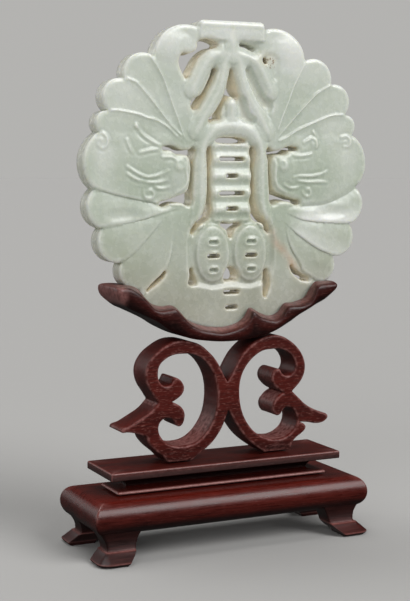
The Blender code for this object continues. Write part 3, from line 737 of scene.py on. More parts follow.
def triangulate(loops, extra):
    """Join the loops and the extra points with triangles, leaving the openings empty."""
    rows = [loop for loop, _ in loops]
    points = np.vstack(rows + [extra])
    edges = []
    start = 0
    for row in rows:
        count = len(row)
        edges += [(start + index, start + (index + 1) % count) for index in range(count)]
        start += count
    border = start
    corners, _, faces, sources, _, _ = delaunay_2d_cdt(
        [Vector(point) for point in points.tolist()], edges, [], 1, 1e-5
    )
    if len(corners) != len(points):
        raise RuntimeError("two edges of a board's drawing cross or touch")
    source = np.array([found[0] for found in sources])
    faces = source[np.array([face[:3] for face in faces])]
    doubtful = np.all(faces < border, axis=1)
    inside = inside_material(points[faces[doubtful]].mean(axis=1), loops)
    faces = np.delete(faces, np.flatnonzero(doubtful)[~inside], axis=0)
    first, second, third = (points[faces[:, place]] for place in range(3))
    turn = (second[:, 0] - first[:, 0]) * (third[:, 1] - first[:, 1])
    turn -= (second[:, 1] - first[:, 1]) * (third[:, 0] - first[:, 0])
    faces[turn < 0.0] = faces[turn < 0.0][:, ::-1]
    return points, faces[np.abs(turn) > 1e-7], border


# How each opening was worked: how far its edge is rounded in and falls back, the warm stain beside it,
# which on its wall is pale as painted glow, and how far it narrows to the back on its left and its right
# half.
OPENING_WORK = {
    "under_left_horn": (0.9, 0.55, 0.55, 0.2, 0.2),
    "under_right_horn": (1.9, 1.1, 0.2, 0.4, 0.4),
    "right_flaw": (0.5, 0.35, 0.25, 0.3, 0.3),
    "between_left_ribs": (0.6, 0.45, 0.5, 0.45, 0.45),
    "round_tongue": (0.7, 0.5, 0.5, 0.5, 0.6),
    "round_bat_head": (0.7, 0.5, 0.4, 0.1, 0.3),
    "beside_column": (0.9, 0.6, 0.6, 0.25, 0.35),
    "below_left_oval": (0.5, 0.35, 0.4, 0.4, 0.4),
    "below_right_oval": (0.6, 0.4, 0.5, 0.3, 0.3),
    "left_crease": (0.45, 0.3, 0.6, 0.3, 0.3),
    "right_crease": (0.5, 0.35, 0.5, 0.3, 0.3),
    "under_arch": (0.5, 0.4, 0.5, 0.1, 0.1),
    "between_ovals": (0.7, 0.5, 0.6, 0.1, 0.1),
    "low_triangle": (0.6, 0.45, 0.6, 0.1, 0.1),
    "stroke": (0.4, 0.25, 0.4, 0.1, 0.1),
}


def edge_fall(distance, names, settings, scale=1.0):
    """How far the surface falls back near a rim or an opening."""
    fall = np.zeros(len(distance))
    rim = (settings.rim_rounding / MM, settings.rim_drop / MM)
    for name, (reach, drop, *_) in {**OPENING_WORK, "rim": rim}.items():
        fall = np.where(names == name, rounded_fall(distance, reach, drop * scale), fall)
    return fall


CENTRE_GROUND = mirrored_loop((
    (0.0, 24.2), (3.4, 23.6), (6.6, 22.0), (8.6, 18.6), (8.8, 14.0), (7.9, 9.6), (7.6, 5.0),
    (7.6, -5.0), (8.0, -9.0), (9.0, -12.0), (8.9, -17.0), (7.6, -20.2), (4.0, -21.0), (0.0, -20.6),
))
COLUMN_PANEL = mirrored_loop((
    (0.0, 6.2), (3.2, 6.2), (4.2, 5.2), (4.3, 0.0), (4.3, -7.4), (3.6, -8.4), (0.0, -8.6),
))


def area_mask(points, outline, blur):
    """One inside an outline and zero outside, with a soft border."""
    loop = even_loop(outline, 0.5)
    distance, _, _ = line_distance(points, np.vstack([loop, loop[:1]]))
    inside = inside_loop(points, loop)
    return smooth_step(0.5 + np.where(inside, distance, -distance) / (2.0 * blur))


def bump(points, u, v, half_u, half_v):
    """A soft round swelling, one at its middle."""
    reach = ((points[:, 0] - u) / half_u) ** 2 + ((points[:, 1] - v) / half_v) ** 2
    return np.clip(1.0 - reach, 0.0, 1.0) ** 1.5


def slow_noise(points, scale, seed):
    """Soft noise over the plaque, from minus one to one."""
    return np.array([
        noise.noise((u * scale + seed, v * scale - seed, seed)) for u, v in points.tolist()
    ])


# One small bump on each side: rise, U, V and half sizes.
EAR_TIPS = ((0.24, -19.5, 9.3, 0.7, 0.8), (0.2, 18.0, 6.3, 1.2, 1.2))
# Soft swellings in mirrored pairs: rise, U, V and half sizes. A negative rise is a hollow.
SWELLINGS = (
    (0.3, 18.0, 1.2, 9.5, 6.2),  # bat's body
    (0.3, 11.2, 0.8, 3.4, 4.6),  # head
    (0.3, 10.9, 2.1, 1.6, 1.5),  # brow
    (-0.16, 10.7, 2.3, 0.8, 0.8),  # eye
    (0.12, 26.0, 6.6, 1.6, 1.6),  # wing's curl
    (0.35, 12.5, 24.0, 5.0, 3.4),  # horn
    (-0.25, 22.0, -7.0, 4.5, 1.6),  # scoop under the wing
)
# Depths behind the front plane of the flat parts, the sunk middle and the top bar, and the rows
# of the column.
FLAT_LEVEL = 0.5
GROUND_LEVEL = 0.95
TOP_BAR_LEVEL = 0.1
COLUMN_ROW_SPACING = 3.15
COLUMN_ROW_HEIGHT = 0.26
# The two ovals, drawn on the right: centre U and V, half sizes, and the heights of their swellings.
OVAL_U = 4.0
OVAL_V = -14.6
OVAL_HALF_WIDTH = 3.7
OVAL_HALF_HEIGHT = 5.7
OVAL_SWELLINGS = (-12.4, -15.0, -17.7)


def feathered(depth, points, settings):
    """The depth with its feathers: ridges part the upper ones, and the lower ones overlap."""
    for line in RIDGES:
        distance, side, share = near_line(points, line)
        strength = 0.45 + 0.55 * np.sin(np.pi * np.clip(0.12 + share * 0.76, 0.0, 1.0)) ** 0.5
        height = settings.ridge_height / MM * strength
        depth -= height * (0.75 * bell(distance, 0.2) + 0.4 * np.exp(-distance / 0.8))
        depth += 0.05 * ~above(side, line) * bell(distance - 1.1, 0.7)
    for lip, drop, wide_above, wide_below, line in VALLEYS:
        distance, side, share = near_line(points, line)
        over = above(side, line)
        fade = smooth_step((1.0 - share) / 0.35) * 0.65 + 0.35
        narrow = 0.45 + 0.55 * (1.0 - share)
        width = np.where(over, wide_above, wide_below)
        depth += drop * fade * nearness(distance, width * narrow) ** 1.5
        depth -= lip * fade * over * nearness(distance, 3.0 * narrow) ** 1.2
    return depth


def with_bats(depth, points, settings):
    """The depth with the swelling bats and the threads that draw them."""
    for side in (-1.0, 1.0):
        for rise, place, level, half_u, half_v in SWELLINGS:
            depth -= rise * bump(points, side * place, level, half_u, half_v)
    for rise, *place in EAR_TIPS:
        depth -= rise * bump(points, *place)
    for line in THREADS:
        distance, _, share = near_line(points, line)
        height = settings.thread_height / MM * np.sin(np.pi * np.clip(0.18 + share * 0.66, 0.0, 1.0))
        depth -= height * bell(distance, 0.28)
        depth += 0.5 * height * bell(distance - 0.6, 0.28)
    return depth


def with_middle(depth, points):
    """The depth with the middle: a sunk ground, the column, two ovals and the rounded bars."""
    u, v = points.T
    ground = area_mask(points, CENTRE_GROUND, 0.6)
    depth = depth * (1.0 - ground) + GROUND_LEVEL * ground
    panel = area_mask(points, COLUMN_PANEL, 0.35)
    rows = COLUMN_ROW_HEIGHT * np.cos(2.0 * np.pi * (v - 0.1) / COLUMN_ROW_SPACING)
    depth = depth * (1.0 - panel) + (FLAT_LEVEL - rows) * panel
    for side in (-1.0, 1.0):
        reach = ((u - side * OVAL_U) / OVAL_HALF_WIDTH) ** 2 + ((v - OVAL_V) / OVAL_HALF_HEIGHT) ** 2
        oval = smooth_step((1.08 - reach) / 0.3)
        dome = 0.2 + 0.45 * np.clip(reach, 0.0, 1.0) ** 2
        depth = depth * (1.0 - oval) + dome * oval
        for level in OVAL_SWELLINGS:
            depth -= 0.3 * bump(points, side * OVAL_U, level, 2.2, 1.2)
    for level, half_width, line in RIB_BARS:
        rise = nearness(near_line(points, line)[0], half_width)
        rise = 0.75 * np.sqrt(1.0 - (1.0 - rise) ** 2) + 0.25 * rise
        depth = depth + np.minimum(level - depth, 0.0) * rise
    for deep, outline in CHANNELS:
        depth = depth + (deep - depth) * area_mask(points, smooth_loop(outline), 0.55)
    return depth


def front_depth(points, settings):
    """How far each point of the front lies behind the front plane, in millimetres."""
    u, v = points.T
    depth = np.full(len(points), FLAT_LEVEL)
    depth += 0.14 * (smooth_step((v - 6.5) / 2.0) * smooth_step((np.abs(u) - 7.5) / 1.5))
    depth = with_middle(with_bats(feathered(depth, points, settings), points, settings), points)
    top_bar = smooth_step((v - 25.0) / 0.7) * smooth_step((7.2 - np.abs(u)) / 0.8)
    depth = depth * (1.0 - top_bar) + TOP_BAR_LEVEL * top_bar
    depth -= 0.12 * top_bar * bell(v - 28.2, 0.5)
    for place, level, half_length in SUNK_STROKES:
        reach = np.maximum(np.abs(u - place) - (half_length - STROKE_HALF_HEIGHT), 0.0)
        gap = np.hypot(reach, v - level)
        depth += 0.9 * smooth_step((STROKE_HALF_HEIGHT + 0.16 - gap) / 0.5)
    return depth + (0.035 * slow_noise(points, 0.35, 3.1) + 0.02 * slow_noise(points, 0.9, 7.7))


# Whiter and greener places, clouds in the stone and on the horns a painted highlight: centre U, V, half
# sizes, how much whiter.
MILK_PATCHES = (
    (12.5, 24.0, 6.5, 5.5, 0.38), (-12.5, 24.0, 6.5, 5.5, 0.3), (0.0, 27.2, 9.0, 3.0, 0.32),
    (-21.0, 14.5, 7.0, 5.0, 0.15), (22.0, 14.5, 7.0, 5.0, -0.05), (-26.0, 3.0, 3.0, 7.0, 0.25),
    (26.0, 3.0, 3.0, 7.0, 0.22),
    (-17.0, 1.5, 7.0, 6.0, -0.1), (17.0, 1.5, 7.0, 6.0, -0.06), (20.0, -15.0, 7.0, 4.5, -0.1),
    (0.0, 8.0, 7.0, 9.0, 0.12), (0.0, -1.0, 5.0, 8.0, 0.15), (-20.0, -12.0, 6.0, 3.0, 0.1),
)
# Feathers whose lower side faces up and gets a painted highlight: the crease below them and how much
# whiter.
LIT_FACETS = ((1, 0.15), (5, 0.8), (6, 0.5))


def whiteness_and_light(points):
    """How white the stone is drawn: whiter towards its top, in drawn patches, and with painted highlights
    on lit feathers.
    """
    value = 0.1 + 0.5 * np.clip((points[:, 1] + 18.0) / 46.0, 0.0, 1.0)
    for u, v, half_u, half_v, amount in MILK_PATCHES:
        value += amount * bump(points, u, v, half_u, half_v)
    for row, amount in LIT_FACETS:
        line = VALLEY_LINES[row]
        distance, side, share = near_line(points, line)
        height = np.where(above(side, line), distance, -distance)
        facet = smooth_step((height + 0.15) / 0.4) * nearness(height, 5.0)
        value += amount * facet * smooth_step((1.0 - share) / 0.3)
    return value


def crest_lines(points):
    """One along the crests of the rounded bars, falling off within half a millimetre."""
    value = np.zeros(len(points))
    for _, _, line in RIB_BARS:
        value = np.maximum(value, bell(near_line(points, line)[0], 0.6))
    return value


def back_depth(points):
    """The plainer back: only a faint fan of feathers."""
    depth = np.full(len(points), 0.25)
    for line in VALLEY_LINES + RIDGES:
        distance, _, share = near_line(points, line, 1.0)
        depth += 0.22 * (1.0 - share) * nearness(distance, 1.2)
    return depth + 0.03 * slow_noise(points, 0.3, 5.3)


# The rusty flaw beside the right horn, the stain over it and a faint rusty place lower down. The
# last two give centre U, V and half sizes.
FLAW_PLACE = (8.1, 21.6)
FLAW_STAIN = (7.2, 22.3, 3.2, 2.2)
LOW_RUST = (10.6, -13.5, 2.2, 2.0)
# A rosy vein that runs down to the right-hand crease opening.
BLUSH_VEIN = ((8.8, -11.0), (9.6, -12.8), (10.6, -13.8), (11.9, -15.4), (13.0, -16.8), (14.2, -18.0))

# Rings of points at these distances from each edge round it, and the back is that much coarser.
FRONT_RINGS = (0.07, 0.18, 0.34, 0.54)
BACK_RINGS = (0.15, 0.5, 0.95)
BACK_COARSENESS = 2.6
# A sawn wall has rings at these shares of the thickness.
WALL_SHARES = (0.1, 0.3, 0.55, 0.8)


def narrowed(loop, left, right):
    """The loop of an opening, drawn in on each half as far as its width there allows."""
    outward = -inward_normals(loop)
    room = np.empty(len(loop))
    for index, point in enumerate(loop):
        reach = loop - point
        length = np.hypot(reach[:, 0], reach[:, 1])
        facing = (reach @ outward[index] > 0.35 * length) & (length > 0.0)
        room[index] = length[facing].min() if np.any(facing) else 0.0
    wanted = left + (right - left) * smooth_step((loop[:, 0] + 1.5) / 3.0)
    shift = np.minimum(wanted, np.where(wanted > 0.4, 0.42, 0.3) * room)
    window = np.ones(9) / 9.0
    shift = np.convolve(np.concatenate([shift[-4:], shift, shift[:4]]), window, mode="valid")
    return loop + outward * shift[:, None]


def gathered(places, rows, count):
    """The sum of the rows that belong to each vertex."""
    return np.stack(
        [np.bincount(places, weights=rows[:, axis], minlength=count) for axis in range(3)], axis=1
    )


def standing_out(vertices, triangles, rounds):
    """How far each vertex stands out from its surroundings, negative in hollows."""
    edges = np.vstack([triangles[:, [0, 1]], triangles[:, [1, 2]], triangles[:, [2, 0]]])
    first, second = np.unique(np.sort(edges, axis=1), axis=0).T
    count = len(vertices)
    weight = np.bincount(first, minlength=count) + np.bincount(second, minlength=count) + 1.0
    corners = vertices[triangles]
    face_normals = np.cross(corners[:, 1] - corners[:, 0], corners[:, 2] - corners[:, 0])
    normals = sum(gathered(triangles[:, place], face_normals, count) for place in range(3))
    normals /= np.maximum(np.linalg.norm(normals, axis=1), 1e-12)[:, None]
    smoothed = vertices
    for _ in range(rounds):
        total = smoothed + gathered(first, smoothed[second], count)
        smoothed = (total + gathered(second, smoothed[first], count)) / weight[:, None]
    return np.sum((vertices - smoothed) * normals, axis=1)


def carved_sheet(loops, spacing, ring_offsets, lines, surface):
    """One side of a board: its vertices, its faces, and each vertex's nearest edge and distance to it.

    The surface is a function that gives Y in millimetres.
    """
    extra, finder = sheet_points(loops, spacing, ring_offsets, lines)
    points, faces, border = triangulate(loops, extra)
    distance, names = finder.find(points)
    distance[:border] = 0.0
    y = surface(points, distance, names)
    return np.stack([points[:, 0], y, points[:, 1]], axis=1), faces, names, distance


def wall_rings(loop, back_loop, front_y, back_y):
    """The rings of points of a sawn wall, between its front and its back edge, a little uneven."""
    inward = inward_normals(loop)
    wobble = 0.05 * slow_noise(loop, 0.8, 2.2)
    rings = []
    for share in WALL_SHARES:
        y = front_y + (back_y - front_y) * share
        moved = loop + (back_loop - loop) * share
        moved = moved - inward * (wobble * math.sin(math.pi * share))[:, None]
        rings.append(np.stack([moved[:, 0], y, moved[:, 1]], axis=1))
    return rings


def joined_rings(rings):
    """Triangles that join each ring of vertex numbers to the next."""
    faces = []
    for upper, lower in zip(rings, rings[1:]):
        after_upper = np.roll(upper, -1)
        after_lower = np.roll(lower, -1)
        faces.append(np.stack([upper, lower, after_lower], axis=1))
        faces.append(np.stack([upper, after_lower, after_upper], axis=1))
    return faces


def pierced_board(name, loops, back_loops, spacing, lines, surfaces, centre):
    """A carved front, a coarser back and sawn walls between them, as one closed mesh.

    Each vertex notes its distance from the nearest edge, its place through the thickness and how
    far it stands out.
    """
    front, faces, names, gaps = carved_sheet(loops, spacing, FRONT_RINGS, lines, surfaces[0])
    back, back_faces, back_names, back_gaps = carved_sheet(
        back_loops, spacing * BACK_COARSENESS, BACK_RINGS, (), surfaces[1]
    )
    blocks = [front, back]
    edge_gap = [gaps, back_gaps]
    owners = [names, back_names]
    through = [np.zeros(len(front)), np.ones(len(back))]
    all_faces = [faces, back_faces[:, ::-1] + len(front)]
    total = len(front) + len(back)
    start = 0
    for (loop, opening), (back_loop, _) in zip(loops, back_loops):
        count = len(loop)
        edge = np.arange(start, start + count)
        rings = [edge]
        walls = wall_rings(loop, back_loop, front[edge, 1], back[edge, 1])
        for share, wall in zip(WALL_SHARES, walls):
            blocks.append(wall)
            edge_gap.append(np.zeros(count))
            through.append(np.full(count, share))
            owners.append(np.full(count, opening))
            rings.append(np.arange(total, total + count))
            total += count
        all_faces += joined_rings([*rings, edge + len(front)])
        start += count
    vertices = np.vstack(blocks)
    triangles = np.vstack(all_faces)
    notes = {
        "place": vertices, "edge_gap": np.concatenate(edge_gap),
        "through": np.concatenate(through), "owner": np.concatenate(owners),
        "proud": standing_out(vertices, triangles, 10),
    }
    mesh = bpy.data.meshes.new(name)
    placed = (vertices + np.array([centre[0], 0.0, centre[1]])) * MM
    mesh.from_pydata(placed.tolist(), [], triangles.tolist())
    mesh.update()
    shade(mesh, 58.0)
    return mesh, notes


def store_marks(mesh, marks):
    """Keep numbers on a mesh's vertices for its material."""
    for label, values in marks.items():
        attribute = mesh.attributes.new(label, "FLOAT", "POINT")
        attribute.data.foreach_set("value", np.asarray(values, np.float32))


def jade_marks(notes, depth):
    """Numbers for the jade's colours: warm stain with painted glow, rust, rosy vein, milkiness with painted
    highlights, and crests and hollows for painted highlight and shade.
    """
    u, _, v = notes["place"].T
    points = np.stack([u, v], axis=1)
    through, owner, edge_gap = notes["through"], notes["owner"], notes["edge_gap"]
    on_rim = owner == "rim"
    in_wall = (through > 0.0) & (through < 1.0)
    strength = np.array([0.0 if name == "rim" else OPENING_WORK[name][2] for name in owner.tolist()])
    # Warm stain by the edges and in the hollows; on the walls it is also painted glow.
    stain = np.where(in_wall, np.minimum(1.0, strength * 2.0), strength * np.exp(-edge_gap / 0.4))
    hollow = np.zeros(len(u))
    hollow[:len(depth)] = smooth_step((depth - 0.85) / 0.8)
    stain = np.clip(stain + 0.3 * hollow + 0.4 * bump(points, *FLAW_STAIN), 0.0, 1.0)
    from_flaw = np.hypot((u - FLAW_PLACE[0]) / 1.1, v - FLAW_PLACE[1])
    flaw = 0.8 * smooth_step((1.7 - from_flaw) / 1.0) * (through < 0.9)
    flaw = np.where((owner == "right_flaw") & in_wall, 1.0, flaw)
    rust = np.clip(flaw + 0.12 * bump(points, *LOW_RUST), 0.0, 1.0)
    blush = bell(near_line(points, BLUSH_VEIN)[0], 0.9) * (through < 0.5)
    # How far each point stands out sets the painted highlight on crests and the painted shade in hollows.
    softened = np.where(on_rim, 0.8, np.where(owner == "stroke", 0.2, 0.45))
    proud = notes["proud"] * 10.0 * np.where(edge_gap < 0.6, softened, 1.0)
    for place, level, half_length in SUNK_STROKES:
        gap = np.hypot(np.maximum(np.abs(u - place) - half_length, 0.0), v - level)
        proud *= np.where(gap < 0.9, 0.4, 1.0)
    # Painted highlight along the crests of the rounded bars.
    proud = np.maximum(proud, 1.1 * crest_lines(points) * (through == 0.0) * (edge_gap > 0.3))
    # Painted light: the rim's side walls are drawn paler and warmer, as if lit through the stone.
    side_wall = on_rim * smooth_step((through + 0.02) / 0.1) * (through < 1.0)
    return {
        "stain": np.maximum(stain, 0.25 * side_wall), "rust": rust, "proud": proud,
        "milk": whiteness_and_light(points) + 0.2 * side_wall, "blush": blush,
    }


def jade_plaque_mesh(settings, box):
    """The plaque: a carved front, a plainer back and sawn walls between them."""
    low, high = box
    centre = (middle_and_half(box, 0)[0], high.z / MM - PLAQUE_TOP_V)
    spacing = settings.mesh_spacing / MM
    loops = plaque_loops(spacing * 1.05)
    back_loops = loops[:1]
    for loop, opening in loops[1:]:
        back_loops.append((narrowed(loop, *OPENING_WORK[opening][3:]), opening))
    depths = []

    def front(points, distance, names):
        depths.append(front_depth(points, settings))
        return low.y / MM + depths[0] + edge_fall(distance, names, settings)

    def back(points, distance, names):
        return high.y / MM - back_depth(points) - edge_fall(distance, names, settings, 0.9)

    mesh, notes = pierced_board(
        "jade_plaque_carving", loops, back_loops, spacing, RIDGES + THREADS + VALLEY_LINES,
        (front, back), centre,
    )
    store_marks(mesh, jade_marks(notes, depths[0]))
    return mesh


# ---------------------------------------------------------------- materials
def add_node(tree, kind, *inputs, named=None, **settings):
    """Add one node with its settings and links.

    Its inputs come in the order of its sockets or by name. Each is a value, the socket that
    feeds it, or a node whose first output does.
    """
    made = tree.nodes.new(kind)
    for name, value in settings.items():
        setattr(made, name, value)
    for name, value in [*enumerate(inputs), *(named or {}).items()]:
        if isinstance(value, bpy.types.Node):
            value = value.outputs[0]
        if isinstance(value, bpy.types.NodeSocket):
            tree.links.new(value, made.inputs[name])
        else:
            made.inputs[name].default_value = value
    return made


def blank_material(name):
    """A material with an empty node tree."""
    material = bpy.data.materials.new(name)
    material.use_nodes = True
    material.node_tree.nodes.clear()
    return material, material.node_tree


def laid_over(tree, colour, layers):
    """Lay colours over a ground, each by its share."""
    for share, over in layers:
        mix = {"Factor": share, "A": colour, "B": tuple(over)}
        colour = add_node(tree, "ShaderNodeMix", named=mix, data_type="RGBA").outputs["Result"]
    return colour


def nephrite_material(settings):
    """Nephrite, carved and wax polished: milky, softly cloudy, lit from within, with a quiet gloss."""
    material, tree = blank_material("waxed_nephrite")
    place = add_node(tree, "ShaderNodeTexCoord").outputs["Object"]
    height = add_node(tree, "ShaderNodeSeparateXYZ", place).outputs["Z"]
    value = {}
    for label in ("milk", "proud", "stain", "blush", "rust"):
        value[label] = add_node(tree, "ShaderNodeAttribute", attribute_name=label).outputs["Fac"]
    # Noise: points per metre, detail, and the span of its own values that becomes the span used.
    for label, scale, detail, *spans in (
        ("clouds", 110.0, 2.5, 0.35, 0.65, -0.12, 0.12),  # about 10 mm
        ("patches", 420.0, 3.0, 0.3, 0.7, 0.6, 1.0),  # about 2 mm
        ("flecks", 900.0, 3.0, 0.5, 0.75, 0.0, 0.08),  # under a millimetre
        ("polish", 900.0, 2.0, 0.3, 0.7, 0.2, 0.32),
        ("specks", 2600.0, 2.0, 0.5, 0.62, 0.0, 0.9),  # about 0.4 mm
    ):
        cloud = add_node(
            tree, "ShaderNodeTexNoise", named={"Vector": place, "Scale": scale, "Detail": detail}
        )
        value[label] = add_node(tree, "ShaderNodeMapRange", cloud, *spans).outputs[0]
    # The ground is greyer low down; crests that stand out get a painted highlight, and hollows painted
    # shade in a deeper green.
    for label, source, *spans in (
        ("greener", height, 0.048, 0.064, 0.0, 1.0),
        ("crest", value["proud"], 0.25, 1.5, 0.0, 0.55),
        ("hollow", value["proud"], -0.15, -1.2, 0.0, 0.5),
        ("vein", value["patches"], 0.6, 1.0, 0.12, 0.5),
    ):
        value[label] = add_node(tree, "ShaderNodeMapRange", source, *spans).outputs[0]
    for label, operation, first, second in (
        ("whiter", "ADD", "clouds", "milk"),
        ("warmth", "MULTIPLY", "stain", "patches"),
        ("rosy", "MULTIPLY", "blush", "vein"),
        ("rusty", "MULTIPLY", "rust", "specks"),
    ):
        value[label] = add_node(
            tree, "ShaderNodeMath", value[first], value[second], operation=operation, use_clamp=True
        ).outputs[0]
    # From the greyest ground up, each colour is laid over the last by its share.
    colour = laid_over(tree, linear("#aeb0a0"), (
        (value["greener"], settings.green), (value["whiter"], settings.pale),
        (value["flecks"], linear("#f3f4ef")), (value["hollow"], linear("#989f87")),
        (value["crest"], linear("#f4f5f0")), (value["warmth"], settings.stain),
        (value["rosy"], linear("#d8b096")), (value["rusty"], settings.rust),
    ))
    ripple = add_node(
        tree, "ShaderNodeBump", named={"Height": value["polish"], "Strength": 0.5, "Distance": 0.0003}
    )
    shader = add_node(tree, "ShaderNodeBsdfPrincipled", named={
        "Base Color": colour, "Roughness": value["polish"], "Normal": ripple, "IOR": 1.61,
        "Subsurface Weight": 0.55, "Subsurface Radius": (1.0, 0.95, 0.75), "Subsurface Scale": 0.0011,
    })
    add_node(tree, "ShaderNodeOutputMaterial", shader)
    return material


# Finish of each wood: brightness, kept low on the cradle as painted shade, roughness, specular level,
# how far its pores show, how patchy its wear and painted highlights are.
WOOD_FINISH_AND_SHADE = {
    "cradle_rosewood": (0.66, 0.28, 0.4, 0.25, 0.6),
    "scroll_rosewood": (1.1, 0.36, 0.3, 0.45, 0.9),
    "plinth_rosewood": (0.95, 0.3, 0.45, 0.3, 0.35),
    "base_rosewood": (0.95, 0.24, 0.5, 0.12, 0.4),
}


def rosewood_material(name, settings):
    """Dark red Asian rosewood, scraped and waxed: a satin shine with short open pores along the grain."""
    brightness, roughness, specular, pores_shown, patchiness = WOOD_FINISH_AND_SHADE[name]
    material, tree = blank_material(name)
    place = add_node(tree, "ShaderNodeTexCoord").outputs["Object"]
    grain = []
    # Noise: points per metre along and across the fibres, detail, and its span and the span used.
    # Pores are drawn a little coarser than real ones.
    for lengthwise, crosswise, detail, *spans in (
        (260.0, 3400.0, 4.0, 0.3, 0.7, 0.0, 0.5),  # streaks of about 4 mm by 0.3 mm
        (20.0, 170.0, 2.0, 0.3, 0.7, 0.0, 0.5),  # bands of about 50 mm by 6 mm
        (1100.0, 8000.0, 1.0, 0.6, 0.76, 0.0, pores_shown),  # pores of about 0.9 mm by 0.12 mm
        (1400.0, 1400.0, 3.0, 0.35, 0.6, 1.0 - patchiness, 1.0),  # patches under a millimetre in the wear and painted highlights
    ):
        along = add_node(
            tree, "ShaderNodeMapping",
            named={"Vector": place, "Scale": (lengthwise, crosswise, crosswise)},
        )
        cloud = add_node(
            tree, "ShaderNodeTexNoise", named={"Vector": along, "Scale": 1.0, "Detail": detail}
        )
        grain.append(add_node(tree, "ShaderNodeMapRange", cloud, *spans))
    streaks, bands, pores, mark_patches = grain
    # Marks stored on each piece: pale wear with painted highlights, and painted shade with dust.
    wear, dull = (
        add_node(tree, "ShaderNodeAttribute", attribute_name=label).outputs["Fac"]
        for label in ("wear", "dull")
    )
    # Painted light and shade: faces that look up are drawn brighter and redder, faces that look down
    # darker.
    facing = add_node(tree, "ShaderNodeNewGeometry").outputs["Normal"]
    upward = add_node(tree, "ShaderNodeSeparateXYZ", facing).outputs["Z"]
    lit_by_facing, glossy, dulled = (
        add_node(tree, "ShaderNodeMapRange", *spans)
        for spans in (
            (upward, -0.5, 0.8, 0.45 * brightness, 1.15 * brightness),
            (streaks, 0.0, 0.5, roughness, roughness + 0.12),
            (dull, 0.0, 1.0, 0.0, 0.15),
        )
    )
    tone, worn_and_lit, rough = (
        add_node(tree, "ShaderNodeMath", first, second, operation=operation, use_clamp=True)
        for operation, first, second in (
            ("ADD", streaks, bands), ("MULTIPLY", wear, mark_patches), ("ADD", glossy, dulled),
        )
    )
    fibres = laid_over(tree, tuple(settings.dark), [(tone, settings.red)])
    lit_and_shaded_fibres = add_node(
        tree, "ShaderNodeVectorMath", fibres, named={"Scale": lit_by_facing}, operation="SCALE"
    ).outputs[0]
    # Painted shade darkens the coves, the undersides and the feet; there dust also dulls the gloss.
    colour = laid_over(
        tree, lit_and_shaded_fibres, ((pores, settings.pore), (worn_and_lit, settings.worn_and_lit), (dull, linear("#0a0303")))
    )
    relief = add_node(
        tree, "ShaderNodeBump", named={"Height": pores, "Strength": 0.4, "Distance": 0.0001}
    )
    shader = add_node(tree, "ShaderNodeBsdfPrincipled", named={
        "Base Color": colour, "Roughness": rough, "Normal": relief, "IOR": 1.46,
        "Specular IOR Level": specular,
    })
    add_node(tree, "ShaderNodeOutputMaterial", shader)
    return material


# ---------------------------------------------------------------- the stand's pieces
def heights_along(table, places):
    """Smoothed heights of a drawn line at the given places."""
    line = smooth_path(table, 0.12)
    order = np.argsort(line[:, 0], kind="stable")
    return np.interp(places, line[order, 0], line[order, 1])


def plaque_underside(places):
    """Height of the plaque's lower rim above its centre, at each U."""
    outline = even_loop(plaque_outline(), 0.1)
    lower = outline[outline[:, 1] < 0.0]
    order = np.argsort(lower[:, 0])
    lower = lower[order]
    return np.interp(places, lower[:, 0], lower[:, 1], left=30.0, right=30.0)


# The groove is this much wider than half the plaque's thickness, on each side.
GROOVE_PLAY = 0.02
CRADLE_STATIONS = 260
CRADLE_SIDE_POINTS = 30
# The cradle's ends are rounded off over these distances, to these shares of its section.
END_PLACES = np.array([0.0, 0.06, 0.18, 0.34, 0.55])
END_SIZES = np.array([0.55, 0.75, 0.88, 0.95, 0.99])


def cradle_section(groove, half_y, lip, crest, belly, floor):
    """The trough's section as a ring of Y and Z: its groove, a sloping lip and a full belly."""
    floor = min(floor, lip - 0.02)
    tall = crest - belly
    side = smooth_path((
        (groove + 0.06, lip), (3.7, lip * 0.5 + crest * 0.5 + 0.14), (4.7, crest + 0.1),
        (half_y - 0.2, crest - 0.18), (half_y - 0.02, crest - 0.3 * tall - 0.1),
        (half_y - 0.1, crest - 0.62 * tall), (half_y - 0.5, belly + 0.14 * tall),
        (half_y - 1.2, belly + 0.03), (half_y - 2.4, belly),
    ), 0.2)
    side = side[np.linspace(0, len(side) - 1, CRADLE_SIDE_POINTS).round().astype(int)]
    half_ring = [(0.0, floor), (groove, floor), (groove, lip - 0.05), *side.tolist(), (0.0, belly)]
    return half_ring + [(-y, z) for y, z in reversed(half_ring[1:-1])]


